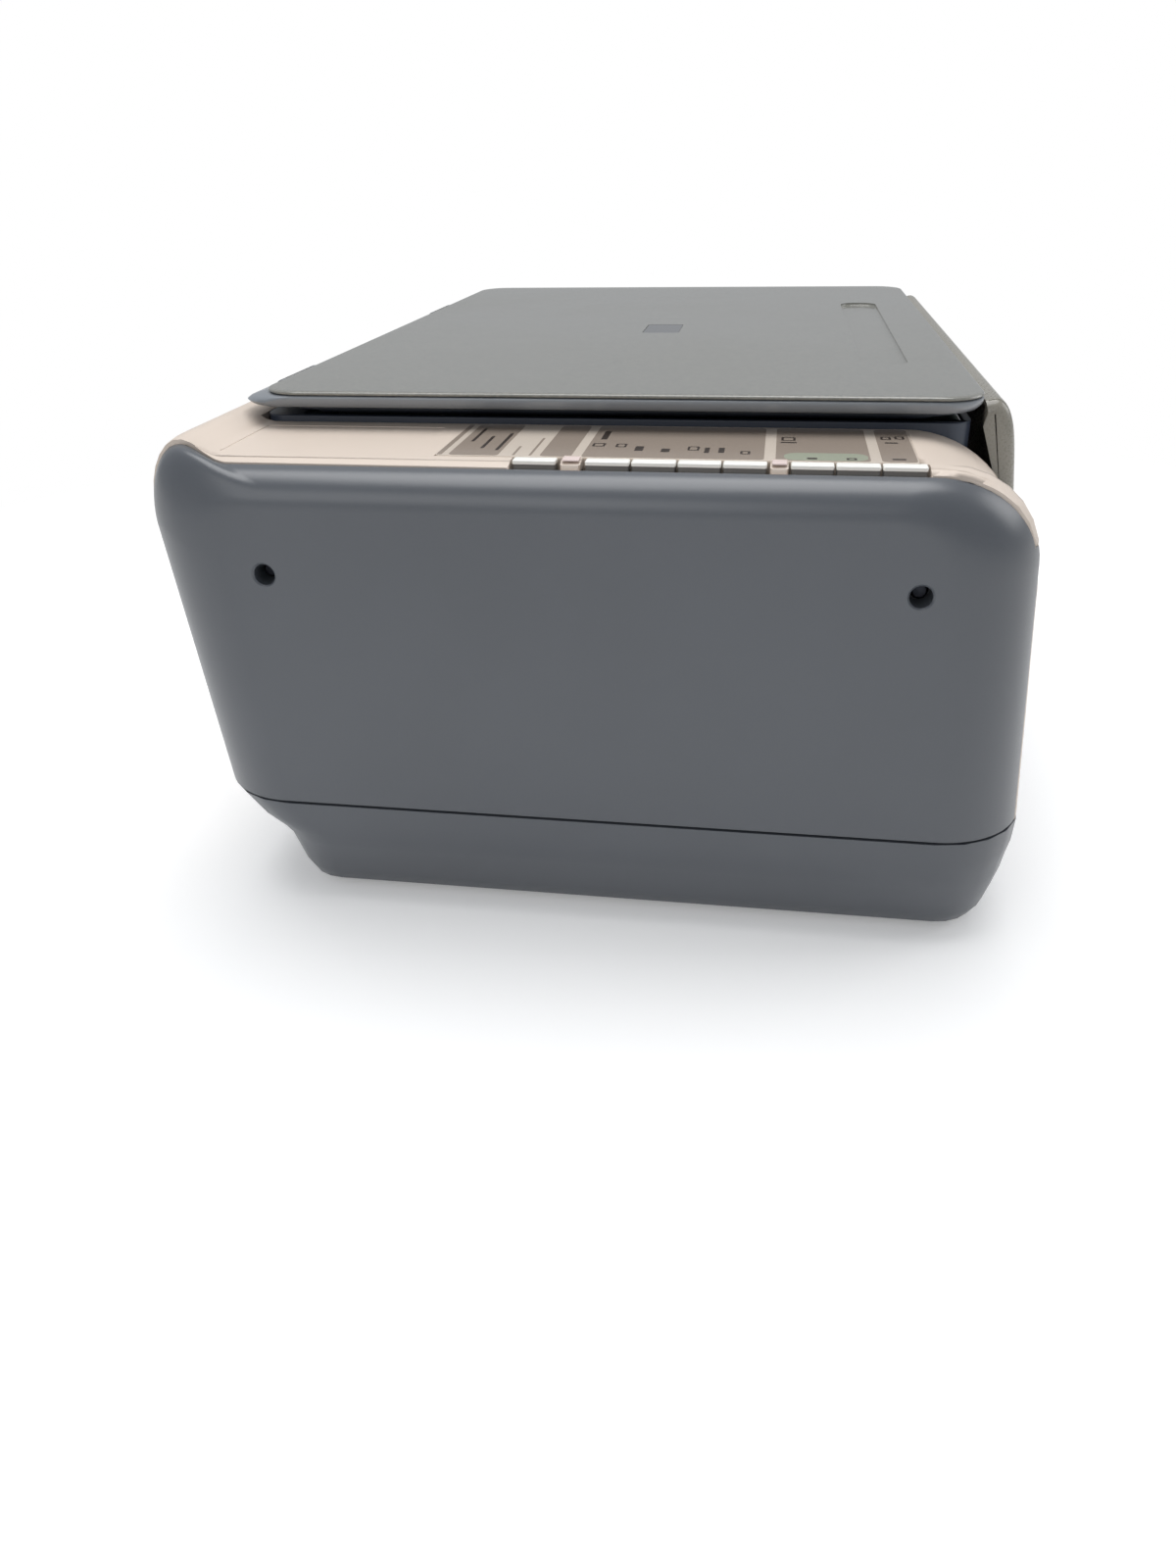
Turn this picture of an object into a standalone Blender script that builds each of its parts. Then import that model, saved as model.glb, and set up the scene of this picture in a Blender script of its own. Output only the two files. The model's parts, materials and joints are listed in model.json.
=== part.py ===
"""All-in-one inkjet printer: a flatbed scanner with a lifting lid over a carriage printer.

The origin is at the middle of the footprint on the table, X to the user's right, Y to the back, Z up.
The control strip and its eight keys run along the left end, and paper goes in and out at the front.
Sizes are in millimetres and MM turns them into metres.
"""
import math

import bmesh
import bpy
from mathutils import Matrix, Vector

MM = 0.001
GAP = 0.3

# Body: two end panels close a white upper case, which stands on a lower case
BODY_HALF = 221.0
CASE_HALF = 208.9
WALL = 2.5
DECK_Z = 158.0
DECK_THICK = 4.0
SPLIT_Z = 41.6
BASE_Z = 2.8
FLOOR_Z = 5.0
HOLLOW_Z = 30.0
FRONT_FOOT_Y = -142.6
FRONT_LEAN = 0.0892
REAR_FOOT_Y = 137.3
REAR_LEAN = 0.083
FRONT_RADIUS = 30.0
REAR_ROUND = (14.0, 24.0)
ROUND_STEPS = 7

# Corners seen from above: the walls turn round them, and the ends lean in towards the foot
PLAN_RADIUS = 30.0
TURN_X = BODY_HALF - PLAN_RADIUS
END_LEAN = 0.0297
END_PIVOT_Z = 146.0

# Border raised along the rear of the deck, which fades out round the corners
BORDER_RISE = 4.3
BORDER_SLOPE = 12.0
BORDER_STEPS = 4
FADE_START = 6.0
FADE_LENGTH = 14.0
FADE_ROUND = 6.0

# Lower case: height, half width, front, rear and corner radius, from the foot upwards
LOWER_SECTIONS = (
    (BASE_Z, 206.0, -129.5, 108.0, 14.0),
    (BASE_Z + 1.5, 208.2, -132.5, 110.5, 15.0),
    (9.0, 210.4, -135.5, 113.0, 17.0),
    (16.0, 213.2, -137.5, 115.0, 20.0),
    (23.0, 216.0, -139.5, 117.5, 24.0),
    (28.0, 217.4, -141.0, 123.2, 28.0),
    (33.0, 217.8, -142.2, 130.0, 29.0),
    (SPLIT_Z - 0.5, 218.0, -142.8, 137.0, 30.0),
)
FOOT_XS = {"left": -176.0, "right": 176.0}
FOOT_YS = {"front": -98.0, "rear": 74.0}
FOOT_RADIUS = 8.0

# End panels: caps 11.6 deep, with two screws at the bottom of holes
PANEL_EDGE_RADIUS = 11.0
PANEL_INNER_X = 209.4
PANEL_TOP_Z = 156.6
PANEL_FRONT_INSET = 2.2
SCREW_Z = 125.0
SCREW_YS = {"front": -98.1, "rear": 100.6}
SCREW_HOLE_RADIUS = 3.35
SCREW_SHANK_HOLE = 1.9
BOSS_RADIUS = 5.6
BOSS_DEPTH = 2.2

# Openings of the white case
BAY_X = (-153.0, 166.0)
BAY_REAR_Y = 124.6
LOW_BAY_Y = (-112.0, 118.0)
LOW_BAY_TOP = 118.0
REAR_DOOR_X = (-118.0, 122.0)
REAR_DOOR_Z = (50.0, 108.0)
DOOR_RIB_PITCH = 30.0
INLET_X = (174.0, 198.0)
INLET_Y = (113.2, 136.5)
INLET_Z = (46.0, 64.0)
USB_X = (158.4, 171.4)
USB_Y = (115.5, 137.9)
USB_Z = (46.0, 58.0)
SOCKET_GAP = 0.4

# Deck at the left end: a shallow basin, and a recess that the film lies in
BASIN_X = (-199.0, -160.0)
BASIN_Y = (56.0, 119.0)
BASIN_Z = 157.2
OVERLAY_X = (-200.2, -155.7)
OVERLAY_Y = (-95.7, 48.3)
OVERLAY_Z = (157.6, 158.3)
CONTROL_BOARD_Z = (146.2, 147.8)

# Main board on four legs
BOARD_X = (158.0, 204.0)
BOARD_Y = (29.5, 117.5)
BOARD_Z = (44.0, 45.6)
LEG_XS = (164.0, 198.0)
LEG_YS = (41.5, 103.5)

# Scanner: bed, glass, lid and its lifting hinges
BED_X = (-152.6, 165.6)
BED_Y = (-117.0, 124.2)
BED_Z = (128.0, 160.0)
WINDOW_X = (-143.0, 156.0)
WINDOW_Y = (-110.0, 106.0)
LID_X = (-164.7, 171.9)
GLASS_X = (-149.1, 162.1)
GLASS_Y = (-113.6, 109.6)
GLASS_Z = (156.8, 159.6)
SCAN_ROD = (0.0, 137.0)
SCAN_ROD_RADIUS = 3.0
LID_Y = (-119.0, 129.0)
LID_TOP = 170.0
LID_CORNER = 14.0
LID_PROFILE = (2.4, 164.5, 1.0), (1.6, 164.9, 0.2), (1.2, 165.8, 0.0), (1.0, 166.6, 0.8), \
    (0.3, 166.9, 2.0), (0.0, 168.0, 4.4), (0.35, 169.2, 7.2), (1.1, 169.8, 7.8), (2.4, LID_TOP, 9.0)
LID_FRAME_PROFILE = (15.0, 160.4, 9.0), (13.5, 161.4, 9.0), (6.0, 163.4, 9.0), (3.4, 164.2, 9.0)
GRIP_X = (-103.0, 89.0)
GRIP_Y = (-100.0, -83.0)
GRIP_DEPTH = 1.2
PAD_X = (-143.5, 156.5)
PAD_Y = (-102.7, 100.7)
PAD_Z = (160.3, 162.9)
HINGE_XS = {"left": -100.0, "right": 107.0}
HINGE_HALF = 12.0
HINGE_LEG_Y = (128.0, 133.0)
HINGE_PIN = (130.5, 162.8)
BARREL_RADIUS = 2.9
PIN_RADIUS = 1.4
LUG_WIDTH = 4.0
LUG_GAP = 1.0

# Front: cartridge cover above, folding paper tray below
FRONT_X = (-148.0, 161.0)
FRONT_Y = -138.5
COVER_FOOT_Z = 97.0
COVER_PIVOT = (-136.3, 97.8)
COVER_FACE = (-120.6, 165.8), (-124.6, 166.5), (-128.1, 163.8), (-130.6, 158.2), (-132.2, 150.6), \
    (-133.7, 140.0), (-135.1, 130.0), (-136.9, 116.0)
COVER_BACK = (-133.4, COVER_FOOT_Z), (-127.0, 140.0), (-120.6, 158.0)
COVER_END_RADIUS = 4.5
COVER_THICK = 2.3
TRAY_TOP_Z = 95.2
TRAY_BACK_Y = -133.6
TRAY_OUTLINE = (FRONT_Y, TRAY_TOP_Z, 1.0), (FRONT_Y, 36.0, 8.0), (-134.6, 27.0, 6.0), \
    (-131.6, 12.2, 0.8), (-127.0, 12.2, 1.0), (-129.4, 27.0, 0), (TRAY_BACK_Y, 38.0, 0), \
    (TRAY_BACK_Y, TRAY_TOP_Z, 0)
TRAY_RIB = (-134.0, 34.0), (-125.0, 24.0), (-125.0, 60.0), (-134.0, 90.0)
TRAY_RIB_WIDTH = 2.6
TRAY_PIVOT = (-129.5, 17.0)
TRAY_PIN_RADIUS = 1.8
EXTENDER_X = (-25.0, 75.0)
EXTENDER_Z = (40.0, 76.0)
GUIDE_X = (-136.0, -116.0)
GUIDE_Z = (42.0, 84.0)

# Keys along the left end, from the back: rear and front edge of each key's place
KEY_X = (-205.7, -201.1)
KEY_Z = (152.8, 158.3)
KEY_GAP = 0.6
KEY_EDGES = (23.4, 9.6), (1.4, -12.4), (-12.4, -26.1), (-26.1, -39.3), (-39.3, -52.6), \
    (-58.8, -71.7), (-71.7, -84.8), (-84.8, -97.9)
WINDOW_EDGES = (8.4, 2.4), (-53.2, -58.4)
TROUGH_Y = (-98.3, 23.8)

# Paper drive: coarse gear wheels in one plane, inside the left frame
MODULE = 1.5
FRAME_X = {"left": (-150.0, -147.5), "right": (152.0, 154.5)}
GEAR_X = (-146.5, -140.5)
FEED_TEETH = 32
PINION_TEETH = 18
ROLLER_TEETH = 16
IDLER_TEETH = 14
TRANSPORT = (26.0, 66.0)
EXIT = (TRANSPORT[0] - (ROLLER_TEETH + IDLER_TEETH) * MODULE, TRANSPORT[1])
FEED_Y = 88.0
FEED_RADIUS = 24.0

# Carriage drive
ROD = (34.0, 92.0)
ROD_RADIUS = 4.0
BELT_Z = 109.0
PULLEY_RADIUS = 5.0
PULLEY_XS = (-128.0, 138.0)
CARRIAGE_X = (86.0, 150.0)
CARTRIDGE_WIDTH = 25.4
SLED_Y = (-13.0, 19.0)
PLATEN_Z = (55.0, 58.0)
PRINT_X = (-136.0, 84.0)
TABLE_TOP = 72.0
BED_TOP = 17.0

PARTS = "inkjet_printer"
CUTTERS = "cutters"
AXIS_MAPS = {
    "X": Matrix(((0, 0, 1), (1, 0, 0), (0, 1, 0))),
    "Y": Matrix(((1, 0, 0), (0, 0, -1), (0, 1, 0))),
    "Z": Matrix.Identity(3),
}
TURNS = {"X": (0, math.pi / 2, 0), "Y": (-math.pi / 2, 0, 0), "Z": (0, 0, 0)}

BLUE_GREY = (0.145, 0.165, 0.195, 1)
WARM_WHITE = (0.74, 0.66, 0.59, 1)
LID_GREY = (0.29, 0.29, 0.275, 1)
NAVY = (0.03, 0.04, 0.065, 1)
DARK = (0.02, 0.02, 0.022, 1)
STEEL = (0.55, 0.56, 0.58, 1)
RUBBER = (0.015, 0.015, 0.016, 1)
NATURAL = (0.62, 0.61, 0.56, 1)
BOARD_GREEN = (0.02, 0.12, 0.05, 1)


def clear_scene():
    """Start from an empty file."""
    for obj in list(bpy.data.objects):
        bpy.data.objects.remove(obj)
    for name in (PARTS, CUTTERS):
        bpy.context.scene.collection.children.link(bpy.data.collections.new(name))


def place(obj, cutter):
    """Put a new object in the parts, or hide it as a cutter."""
    bpy.data.collections[CUTTERS if cutter else PARTS].objects.link(obj)
    if cutter:
        obj.hide_render = True
        obj.display_type = "WIRE"
    return obj


def paint(obj, colour, roughness=0.5, metallic=0.0):
    """Give the object its own Principled material."""
    mat = bpy.data.materials.new(obj.name)
    mat.use_nodes = True
    shader = mat.node_tree.nodes["Principled BSDF"]
    shader.inputs["Base Color"].default_value = colour
    shader.inputs["Roughness"].default_value = roughness
    shader.inputs["Metallic"].default_value = metallic
    obj.data.materials.clear()
    obj.data.materials.append(mat)
    return obj


def finish_mesh(bm, name, cutter):
    """Turn a bmesh in millimetres into a linked object in metres."""
    bmesh.ops.scale(bm, vec=(MM, MM, MM), verts=bm.verts)
    bmesh.ops.recalc_face_normals(bm, faces=bm.faces)
    mesh = bpy.data.meshes.new(name)
    bm.to_mesh(mesh)
    bm.free()
    return place(bpy.data.objects.new(name, mesh), cutter)


def box(name, xs, ys, zs, cutter=False, bevel=0.0, segments=2):
    """Box between low and high limits, with all edges rounded if a bevel is given."""
    bm = bmesh.new()
    bmesh.ops.create_cube(bm, size=1.0)
    size = (xs[1] - xs[0], ys[1] - ys[0], zs[1] - zs[0])
    middle = ((xs[0] + xs[1]) / 2, (ys[0] + ys[1]) / 2, (zs[0] + zs[1]) / 2)
    bmesh.ops.scale(bm, vec=size, verts=bm.verts)
    bmesh.ops.translate(bm, vec=middle, verts=bm.verts)
    obj = finish_mesh(bm, name, cutter)
    if bevel:
        soften(obj, bevel, segments)
    return obj


def soften(obj, width, segments=2):
    """Round the sharp edges of an object."""
    mod = obj.modifiers.new("rounded edges", "BEVEL")
    mod.width = width * MM
    mod.segments = segments
    mod.limit_method = "ANGLE"
    mod.angle_limit = math.radians(50)


def soften_where(obj, width, segments, chosen):
    """Round only the edges whose two ends, in millimetres, pass a test."""
    bm = bmesh.new()
    bm.from_mesh(obj.data)
    layer = bm.edges.layers.float.new("bevel_weight_edge")
    for edge in bm.edges:
        a, b = (v.co / MM for v in edge.verts)
        if chosen(a, b) and edge.calc_face_angle(0) > math.radians(50):
            edge[layer] = 1.0
    bm.to_mesh(obj.data)
    bm.free()
    mod = obj.modifiers.new("rounded rim", "BEVEL")
    mod.width = width * MM
    mod.segments = segments
    mod.limit_method = "WEIGHT"
    mod.use_clamp_overlap = False


def rounded(corners, steps=5):
    """Closed outline through (u, v, radius) corners, each turned with its own arc."""
    points = []
    for i, (u, v, radius) in enumerate(corners):
        here = Vector((u, v))
        if radius <= 0:
            points.append((u, v))
            continue
        back = (Vector(corners[i - 1][:2]) - here).normalized()
        ahead = (Vector(corners[(i + 1) % len(corners)][:2]) - here).normalized()
        half = back.angle(ahead) / 2
        centre = here + (back + ahead).normalized() * radius / math.sin(half)
        start = here + back * radius / math.tan(half) - centre
        stop = here + ahead * radius / math.tan(half) - centre
        sweep = math.atan2(start.x * stop.y - start.y * stop.x, start.dot(stop))
        for k in range(steps + 1):
            turn = Matrix.Rotation(sweep * k / steps, 2)
            points.append(tuple(centre + turn @ start))
    return points


def circle(centre, radius, sides=20):
    """Outline of a circle."""
    angles = [2 * math.pi * k / sides for k in range(sides)]
    return [(centre[0] + radius * math.cos(a), centre[1] + radius * math.sin(a)) for a in angles]


def slab(name, loops, along, span, cutter=False):
    """Flat outline (with holes, if more loops follow) extruded over a span of one axis."""
    curve = bpy.data.curves.new(name, "CURVE")
    curve.dimensions = "2D"
    curve.fill_mode = "BOTH"
    curve.extrude = (span[1] - span[0]) / 2 * MM
    for loop in loops:
        spline = curve.splines.new("POLY")
        spline.points.add(len(loop) - 1)
        for point, (u, v) in zip(spline.points, loop):
            point.co = (u * MM, v * MM, 0, 1)
        spline.use_cyclic_u = True
    flat = bpy.data.objects.new(name + "_outline", curve)
    bpy.context.scene.collection.objects.link(flat)
    middle = Vector((0, 0, 0))
    middle["XYZ".index(along)] = (span[0] + span[1]) / 2 * MM
    flat.matrix_world = Matrix.Translation(middle) @ AXIS_MAPS[along].to_4x4()
    graph = bpy.context.evaluated_depsgraph_get()
    graph.update()
    mesh = bpy.data.meshes.new_from_object(flat.evaluated_get(graph))
    mesh.transform(flat.matrix_world)
    bpy.data.objects.remove(flat)
    bm = bmesh.new()
    bm.from_mesh(mesh)
    bmesh.ops.remove_doubles(bm, verts=bm.verts, dist=1e-6)
    if len(loops) == 1:
        bmesh.ops.dissolve_limit(bm, angle_limit=math.radians(0.2), verts=bm.verts, edges=bm.edges)
    bmesh.ops.recalc_face_normals(bm, faces=bm.faces)
    bm.to_mesh(mesh)
    bm.free()
    mesh.name = name
    return place(bpy.data.objects.new(name, mesh), cutter)


def lofted(name, rings, cutter=False):
    """Closed skin through rings of equal count, from the lowest to the highest."""
    bm = bmesh.new()
    loops = [[bm.verts.new(point) for point in ring] for ring in rings]
    for low, high in zip(loops, loops[1:]):
        for k in range(len(low)):
            n = (k + 1) % len(low)
            bm.faces.new((low[k], low[n], high[n], high[k]))
    bm.faces.new(reversed(loops[0]))
    bm.faces.new(loops[-1])
    return finish_mesh(bm, name, cutter)


def plan_ring(xs, ys, z, radius, steps=5):
    """Rounded rectangle at one height."""
    spots = ((xs[0], ys[0]), (xs[1], ys[0]), (xs[1], ys[1]), (xs[0], ys[1]))
    return [(u, v, z) for u, v in rounded([(x, y, radius) for x, y in spots], steps)]


def turned(name, profile, along, centre, steps=20, cutter=False):
    """Turned piece: (radius, place) pairs run down its outer side along one axis."""
    mesh = bpy.data.meshes.new(name)
    points = [(radius * MM, 0, place_on_axis * MM) for radius, place_on_axis in profile]
    mesh.from_pydata(points, [(k, k + 1) for k in range(len(points) - 1)], [])
    obj = place(bpy.data.objects.new(name, mesh), cutter)
    obj.location = Vector(centre) * MM
    obj.rotation_euler = TURNS[along]
    mod = obj.modifiers.new("turned", "SCREW")
    mod.steps = steps
    mod.render_steps = steps
    mod.use_merge_vertices = True
    mod.merge_threshold = 1e-6
    mod.use_smooth_shade = True
    return obj


def rod(name, radius, along, centre, span, steps=20, cutter=False):
    """Plain cylinder over a span of one axis; centre gives the two other coordinates."""
    profile = [(0, span[1]), (radius, span[1]), (radius, span[0]), (0, span[0])]
    spot = list(centre)
    spot.insert("XYZ".index(along), 0.0)
    return turned(name, profile, along, spot, steps, cutter)


def combine(obj, tool, operation):
    """Cut, join or intersect an object with a cutter."""
    mod = obj.modifiers.new(tool.name, "BOOLEAN")
    mod.operation = operation
    mod.solver = "EXACT"
    mod.object = tool
    return obj


def cut(obj, *tools):
    """Take cutters away from an object."""
    for tool in tools:
        combine(obj, tool, "DIFFERENCE")
    return obj


def join(obj, *tools):
    """Join pieces that are moulded in one with the object."""
    for tool in tools:
        combine(obj, tool, "UNION")
    return obj


def hang(obj, pivot):
    """Move the object's origin onto its joint's axis, leaving the shape where it is."""
    offset = Vector(pivot) * MM
    obj.data.transform(Matrix.Translation(-offset))
    obj.location = offset
    return obj


def front_y(z):
    """Front of the body at a height, which leans back as it rises."""
    return FRONT_FOOT_Y + FRONT_LEAN * (z - SPLIT_Z)


def rear_y(z):
    """Rear of the body at a height, which leans out as it rises."""
    return REAR_FOOT_Y + REAR_LEAN * (z - SPLIT_Z)


def side_view(top, bottom, draw, drop):
    """Side view of the body as (y, z) points, its walls drawn in and its top lowered by so much."""
    fade = min(max((draw - FADE_START) / FADE_LENGTH, 0.0), 1.0)
    depth = REAR_ROUND[0] + FADE_ROUND * fade - drop * 0.4
    height = REAR_ROUND[1] - drop * 0.7
    level = top - drop
    crest = level + BORDER_RISE * (1.0 - fade)
    rear = rear_y(crest - height) - draw
    inset = draw + (DECK_Z - top) / (DECK_Z - PANEL_TOP_Z) * PANEL_FRONT_INSET
    corners = [(front_y(bottom) + inset, bottom, 0), (rear_y(bottom) - draw, bottom, 0)]
    for k in range(ROUND_STEPS + 1):
        turn = math.pi / 2 * k / ROUND_STEPS
        corners.append((rear - depth * (1 - math.cos(turn)), crest - height * (1 - math.sin(turn)), 0))
    for k in range(1, BORDER_STEPS + 1):
        way = k / BORDER_STEPS
        fall = (crest - level) * way * way * (3 - 2 * way)
        corners.append((rear - depth - BORDER_SLOPE * way, crest - fall, 0))
    corners.append((front_y(level) + inset, level, FRONT_RADIUS - drop))
    return rounded(corners, ROUND_STEPS)


def end_rings(sign, angles, wall, top, bottom, drop=None):
    """Side views at places round the plan corners of one end, for a skin set in by a wall."""
    rings = []
    for angle in angles:
        radius = PLAN_RADIUS - wall
        x = TURN_X + radius * math.sin(math.radians(angle))
        draw = PLAN_RADIUS - radius * math.cos(math.radians(angle))
        fall = drop
        if drop is None:
            over = max(x - BODY_HALF + PANEL_EDGE_RADIUS, 0.0)
            rim = PANEL_EDGE_RADIUS - wall
            fall = PANEL_EDGE_RADIUS - math.sqrt(max(rim ** 2 - over ** 2, 0.0))
        rings.append([(sign * (x - END_LEAN * (END_PIVOT_Z - z)), y, z)
                      for y, z in side_view(top, bottom, draw, fall)])
    return rings


def make_end_panel(side, sign):
    """Cap over one end: a rounded skin with two screw bosses behind it."""
    panel = lofted(side + "_end_panel", end_rings(sign, range(20, 91, 10), 0, PANEL_TOP_Z, SPLIT_Z + GAP))
    hollow = end_rings(sign, range(10, 91, 10), WALL, PANEL_TOP_Z, SPLIT_Z - 8)
    cut(panel, lofted(side + "_panel_hollow", hollow, cutter=True))
    for end, y in SCREW_YS.items():
        name = "%s_%s_boss" % (side, end)
        centre = (y, SCREW_Z)
        boss_span = sorted((sign * (BODY_HALF - 1.6), sign * (PANEL_INNER_X + 0.2)))
        bore_span = sorted((sign * (BODY_HALF + 5), sign * (PANEL_INNER_X + BOSS_DEPTH)))
        pilot_span = sorted((sign * (BODY_HALF + 5), sign * (PANEL_INNER_X - 5)))
        join(panel, rod(name, BOSS_RADIUS, "X", centre, boss_span, 16, cutter=True))
        cut(panel, rod(name + "_bore", SCREW_HOLE_RADIUS, "X", centre, bore_span, 16, cutter=True))
        cut(panel, rod(name + "_pilot", SCREW_SHANK_HOLE, "X", centre, pilot_span, 12, cutter=True))
        make_panel_screw(side, end, sign, centre)
    far = (sign * PANEL_INNER_X, sign * (PANEL_INNER_X - 60))
    cut(panel, box(side + "_panel_trim", sorted(far), (-200, 200), (0, 200), cutter=True))
    paint(panel, BLUE_GREY, 0.55)


def make_panel_screw(side, end, sign, centre):
    """Pan-head screw at the bottom of a panel's boss."""
    seat = PANEL_INNER_X + BOSS_DEPTH + GAP
    head = [(0, 2.4), (1.9, 2.4), (2.7, 1.5), (2.9, 0), (1.5, 0), (1.5, -11.5), (0, -12.5)]
    profile = [(radius, sign * (seat + rise)) for radius, rise in head]
    if sign < 0:
        profile.reverse()
    screw = turned("screw_%s_%s" % (side, end), profile, "X", (0, *centre), 12)
    paint(screw, STEEL, 0.35, 1.0)


def make_upper_case():
    """White case: deck, rear wall, end walls and the two blocks beside the scanner."""
    ends = end_rings(-1, range(50, -1, -10), 0, DECK_Z, SPLIT_Z, 0)
    ends += end_rings(1, range(0, 51, 10), 0, DECK_Z, SPLIT_Z, 0)
    case = lofted("upper_case", ends)
    for side, sign in (("left", -1), ("right", 1)):
        far = (sign * CASE_HALF, sign * (CASE_HALF + 60))
        cut(case, box(side + "_case_trim", sorted(far), (-200, 200), (0, 200), cutter=True))
    plain = side_view(DECK_Z, HOLLOW_Z, WALL, DECK_THICK)
    for side, sign in (("left", -1), ("right", 1)):
        rings = end_rings(sign, (34, 26, 18, 9, 0), WALL, DECK_Z, HOLLOW_Z, DECK_THICK)
        inner_x = BAY_X[0] - WALL if sign < 0 else BAY_X[1] + WALL
        rings.append([(inner_x, y, z) for y, z in plain])
        cut(case, lofted(side + "_hollow", rings, cutter=True))
    top = DECK_Z - DECK_THICK
    low_y = LOW_BAY_Y[1] - 1
    wall_y = BAY_REAR_Y + WALL
    strip = rounded([(low_y, HOLLOW_Z, 0), (rear_y(HOLLOW_Z) - WALL, HOLLOW_Z, 0),
                     (rear_y(top) - WALL, top, 8), (wall_y, top, 0), (wall_y, LOW_BAY_TOP, 0),
                     (low_y, LOW_BAY_TOP, 0)], 4)
    rear = slab("rear_hollow", [strip], "X", (BAY_X[0] - WALL - 1, BAY_X[1] + WALL + 1), cutter=True)
    bay = box("bay", BAY_X, (-160, BAY_REAR_Y), (HOLLOW_Z, 175), cutter=True)
    low_half = CASE_HALF - WALL - 0.1
    low = box("low_bay", (-low_half, low_half), LOW_BAY_Y, (HOLLOW_Z, LOW_BAY_TOP), cutter=True)
    cut(case, rear, bay, low)
    trough = box("key_trough", (KEY_X[0] - 0.4, KEY_X[1] + 0.4), TROUGH_Y, (140, 170), cutter=True)
    ledge = box("key_ledge", (-215, KEY_X[0]), TROUGH_Y, (155.6, 170), cutter=True)
    recess = box("overlay_recess", (OVERLAY_X[0] - GAP, OVERLAY_X[1] + GAP),
                 (OVERLAY_Y[0] - GAP, OVERLAY_Y[1] + GAP), (OVERLAY_Z[0] - GAP, 170), cutter=True)
    basin = box("deck_basin", BASIN_X, BASIN_Y, (BASIN_Z, 164), cutter=True, bevel=0.7)
    cut(case, trough, ledge, recess, basin)
    for k, (back, front) in enumerate(WINDOW_EDGES):
        lens = box("lamp_window_%d" % k, (KEY_X[0] - 0.9, KEY_X[1] + 0.9), (front, back), (155.0, 158.8),
                   cutter=True, bevel=0.5, segments=1)
        join(case, lens)
    for side, x in HINGE_XS.items():
        half = HINGE_HALF + 0.6
        leg_y = (HINGE_LEG_Y[0] - 0.6, HINGE_LEG_Y[1] + 0.6)
        cut(case, box(side + "_hinge_slot", (x - half, x + half), leg_y, (120, 175), cutter=True))
        half = HINGE_HALF + LUG_GAP + LUG_WIDTH + 1.0
        cut(case, box(side + "_hinge_pocket", (x - half, x + half), (105.0, 135.5), (DECK_Z + 0.2, 175),
                      cutter=True))
    door = box("rear_door_cut", REAR_DOOR_X, (118, 160), REAR_DOOR_Z, cutter=True)
    cut(case, door)
    for name, xs, zs in (("power_cut", INLET_X, INLET_Z), ("usb_cut", USB_X, USB_Z)):
        xs = (xs[0] - SOCKET_GAP, xs[1] + SOCKET_GAP)
        zs = (zs[0] - SOCKET_GAP, zs[1] + SOCKET_GAP)
        cut(case, box(name, xs, (120, 160), zs, cutter=True))
    for side, sign in (("left", -1), ("right", 1)):
        for end, y in SCREW_YS.items():
            hole_span = sorted((sign * (CASE_HALF + 3), sign * (CASE_HALF - 6)))
            name = "%s_%s_wall_hole" % (side, end)
            cut(case, rod(name, SCREW_SHANK_HOLE, "X", (y, SCREW_Z), hole_span, 12, cutter=True))
    for y in (-90.0, 40.0):
        join(case, rod("board_post_%d" % y, 2.2, "Z", (-172.0, y), (CONTROL_BOARD_Z[1] + GAP, 156.0), 10,
                       cutter=True))
    paint(case, WARM_WHITE, 0.45)


def make_lower_case():
    """Blue-grey tub with a drawn-in foot, tray ears at the front and board posts at the right."""
    outer = []
    inner = []
    for z, half, front, rear, radius in LOWER_SECTIONS:
        outer.append(plan_ring((-half, half), (front, rear), z, radius))
        if z > FLOOR_Z:
            ys = (front + WALL, rear - WALL)
            inner.append(plan_ring((WALL - half, half - WALL), ys, z, radius - WALL))
    half, front, rear, radius = LOWER_SECTIONS[1][1:]
    floor_y = (front + WALL, rear - WALL)
    inner.insert(0, plan_ring((WALL - half, half - WALL), floor_y, FLOOR_Z, radius - WALL))
    top = [(x, y, z + 6) for x, y, z in inner[-1]]
    inner.append(top)
    case = lofted("lower_case", outer)
    cut(case, lofted("lower_hollow", inner, cutter=True))
    mouth_x = (FRONT_X[0] - 0.8, FRONT_X[1] + 0.8)
    cut(case, box("tray_mouth", mouth_x, (-160, -118), (10.5, 50), cutter=True))
    for side, x in (("left", FRONT_X[0] - 3.6), ("right", FRONT_X[1] + 1.0)):
        ear = box(side + "_tray_ear", (x, x + 2.6), (-133.6, -124.0), (4.0, 22.0), cutter=True)
        join(case, ear)
    cut(case, rod("ear_bore", 2.2, "X", TRAY_PIVOT, (-170, 180), 16, cutter=True))
    for x in LEG_XS:
        for y in LEG_YS:
            leg = rod("board_leg_%d_%d" % (x, y), 2.6, "Z", (x, y), (4.0, BOARD_Z[0] - GAP), 10, cutter=True)
            join(case, leg)
    paint(case, BLUE_GREY, 0.55)
    top = BASE_Z - GAP
    profile = [(0, top), (FOOT_RADIUS, top), (FOOT_RADIUS, 0.8), (FOOT_RADIUS - 0.8, 0), (0, 0)]
    for x_name, x in FOOT_XS.items():
        for y_name, y in FOOT_YS.items():
            foot = turned("foot_%s_%s" % (y_name, x_name), profile, "Z", (x, y, 0), 20)
            paint(foot, RUBBER, 0.8)


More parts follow.
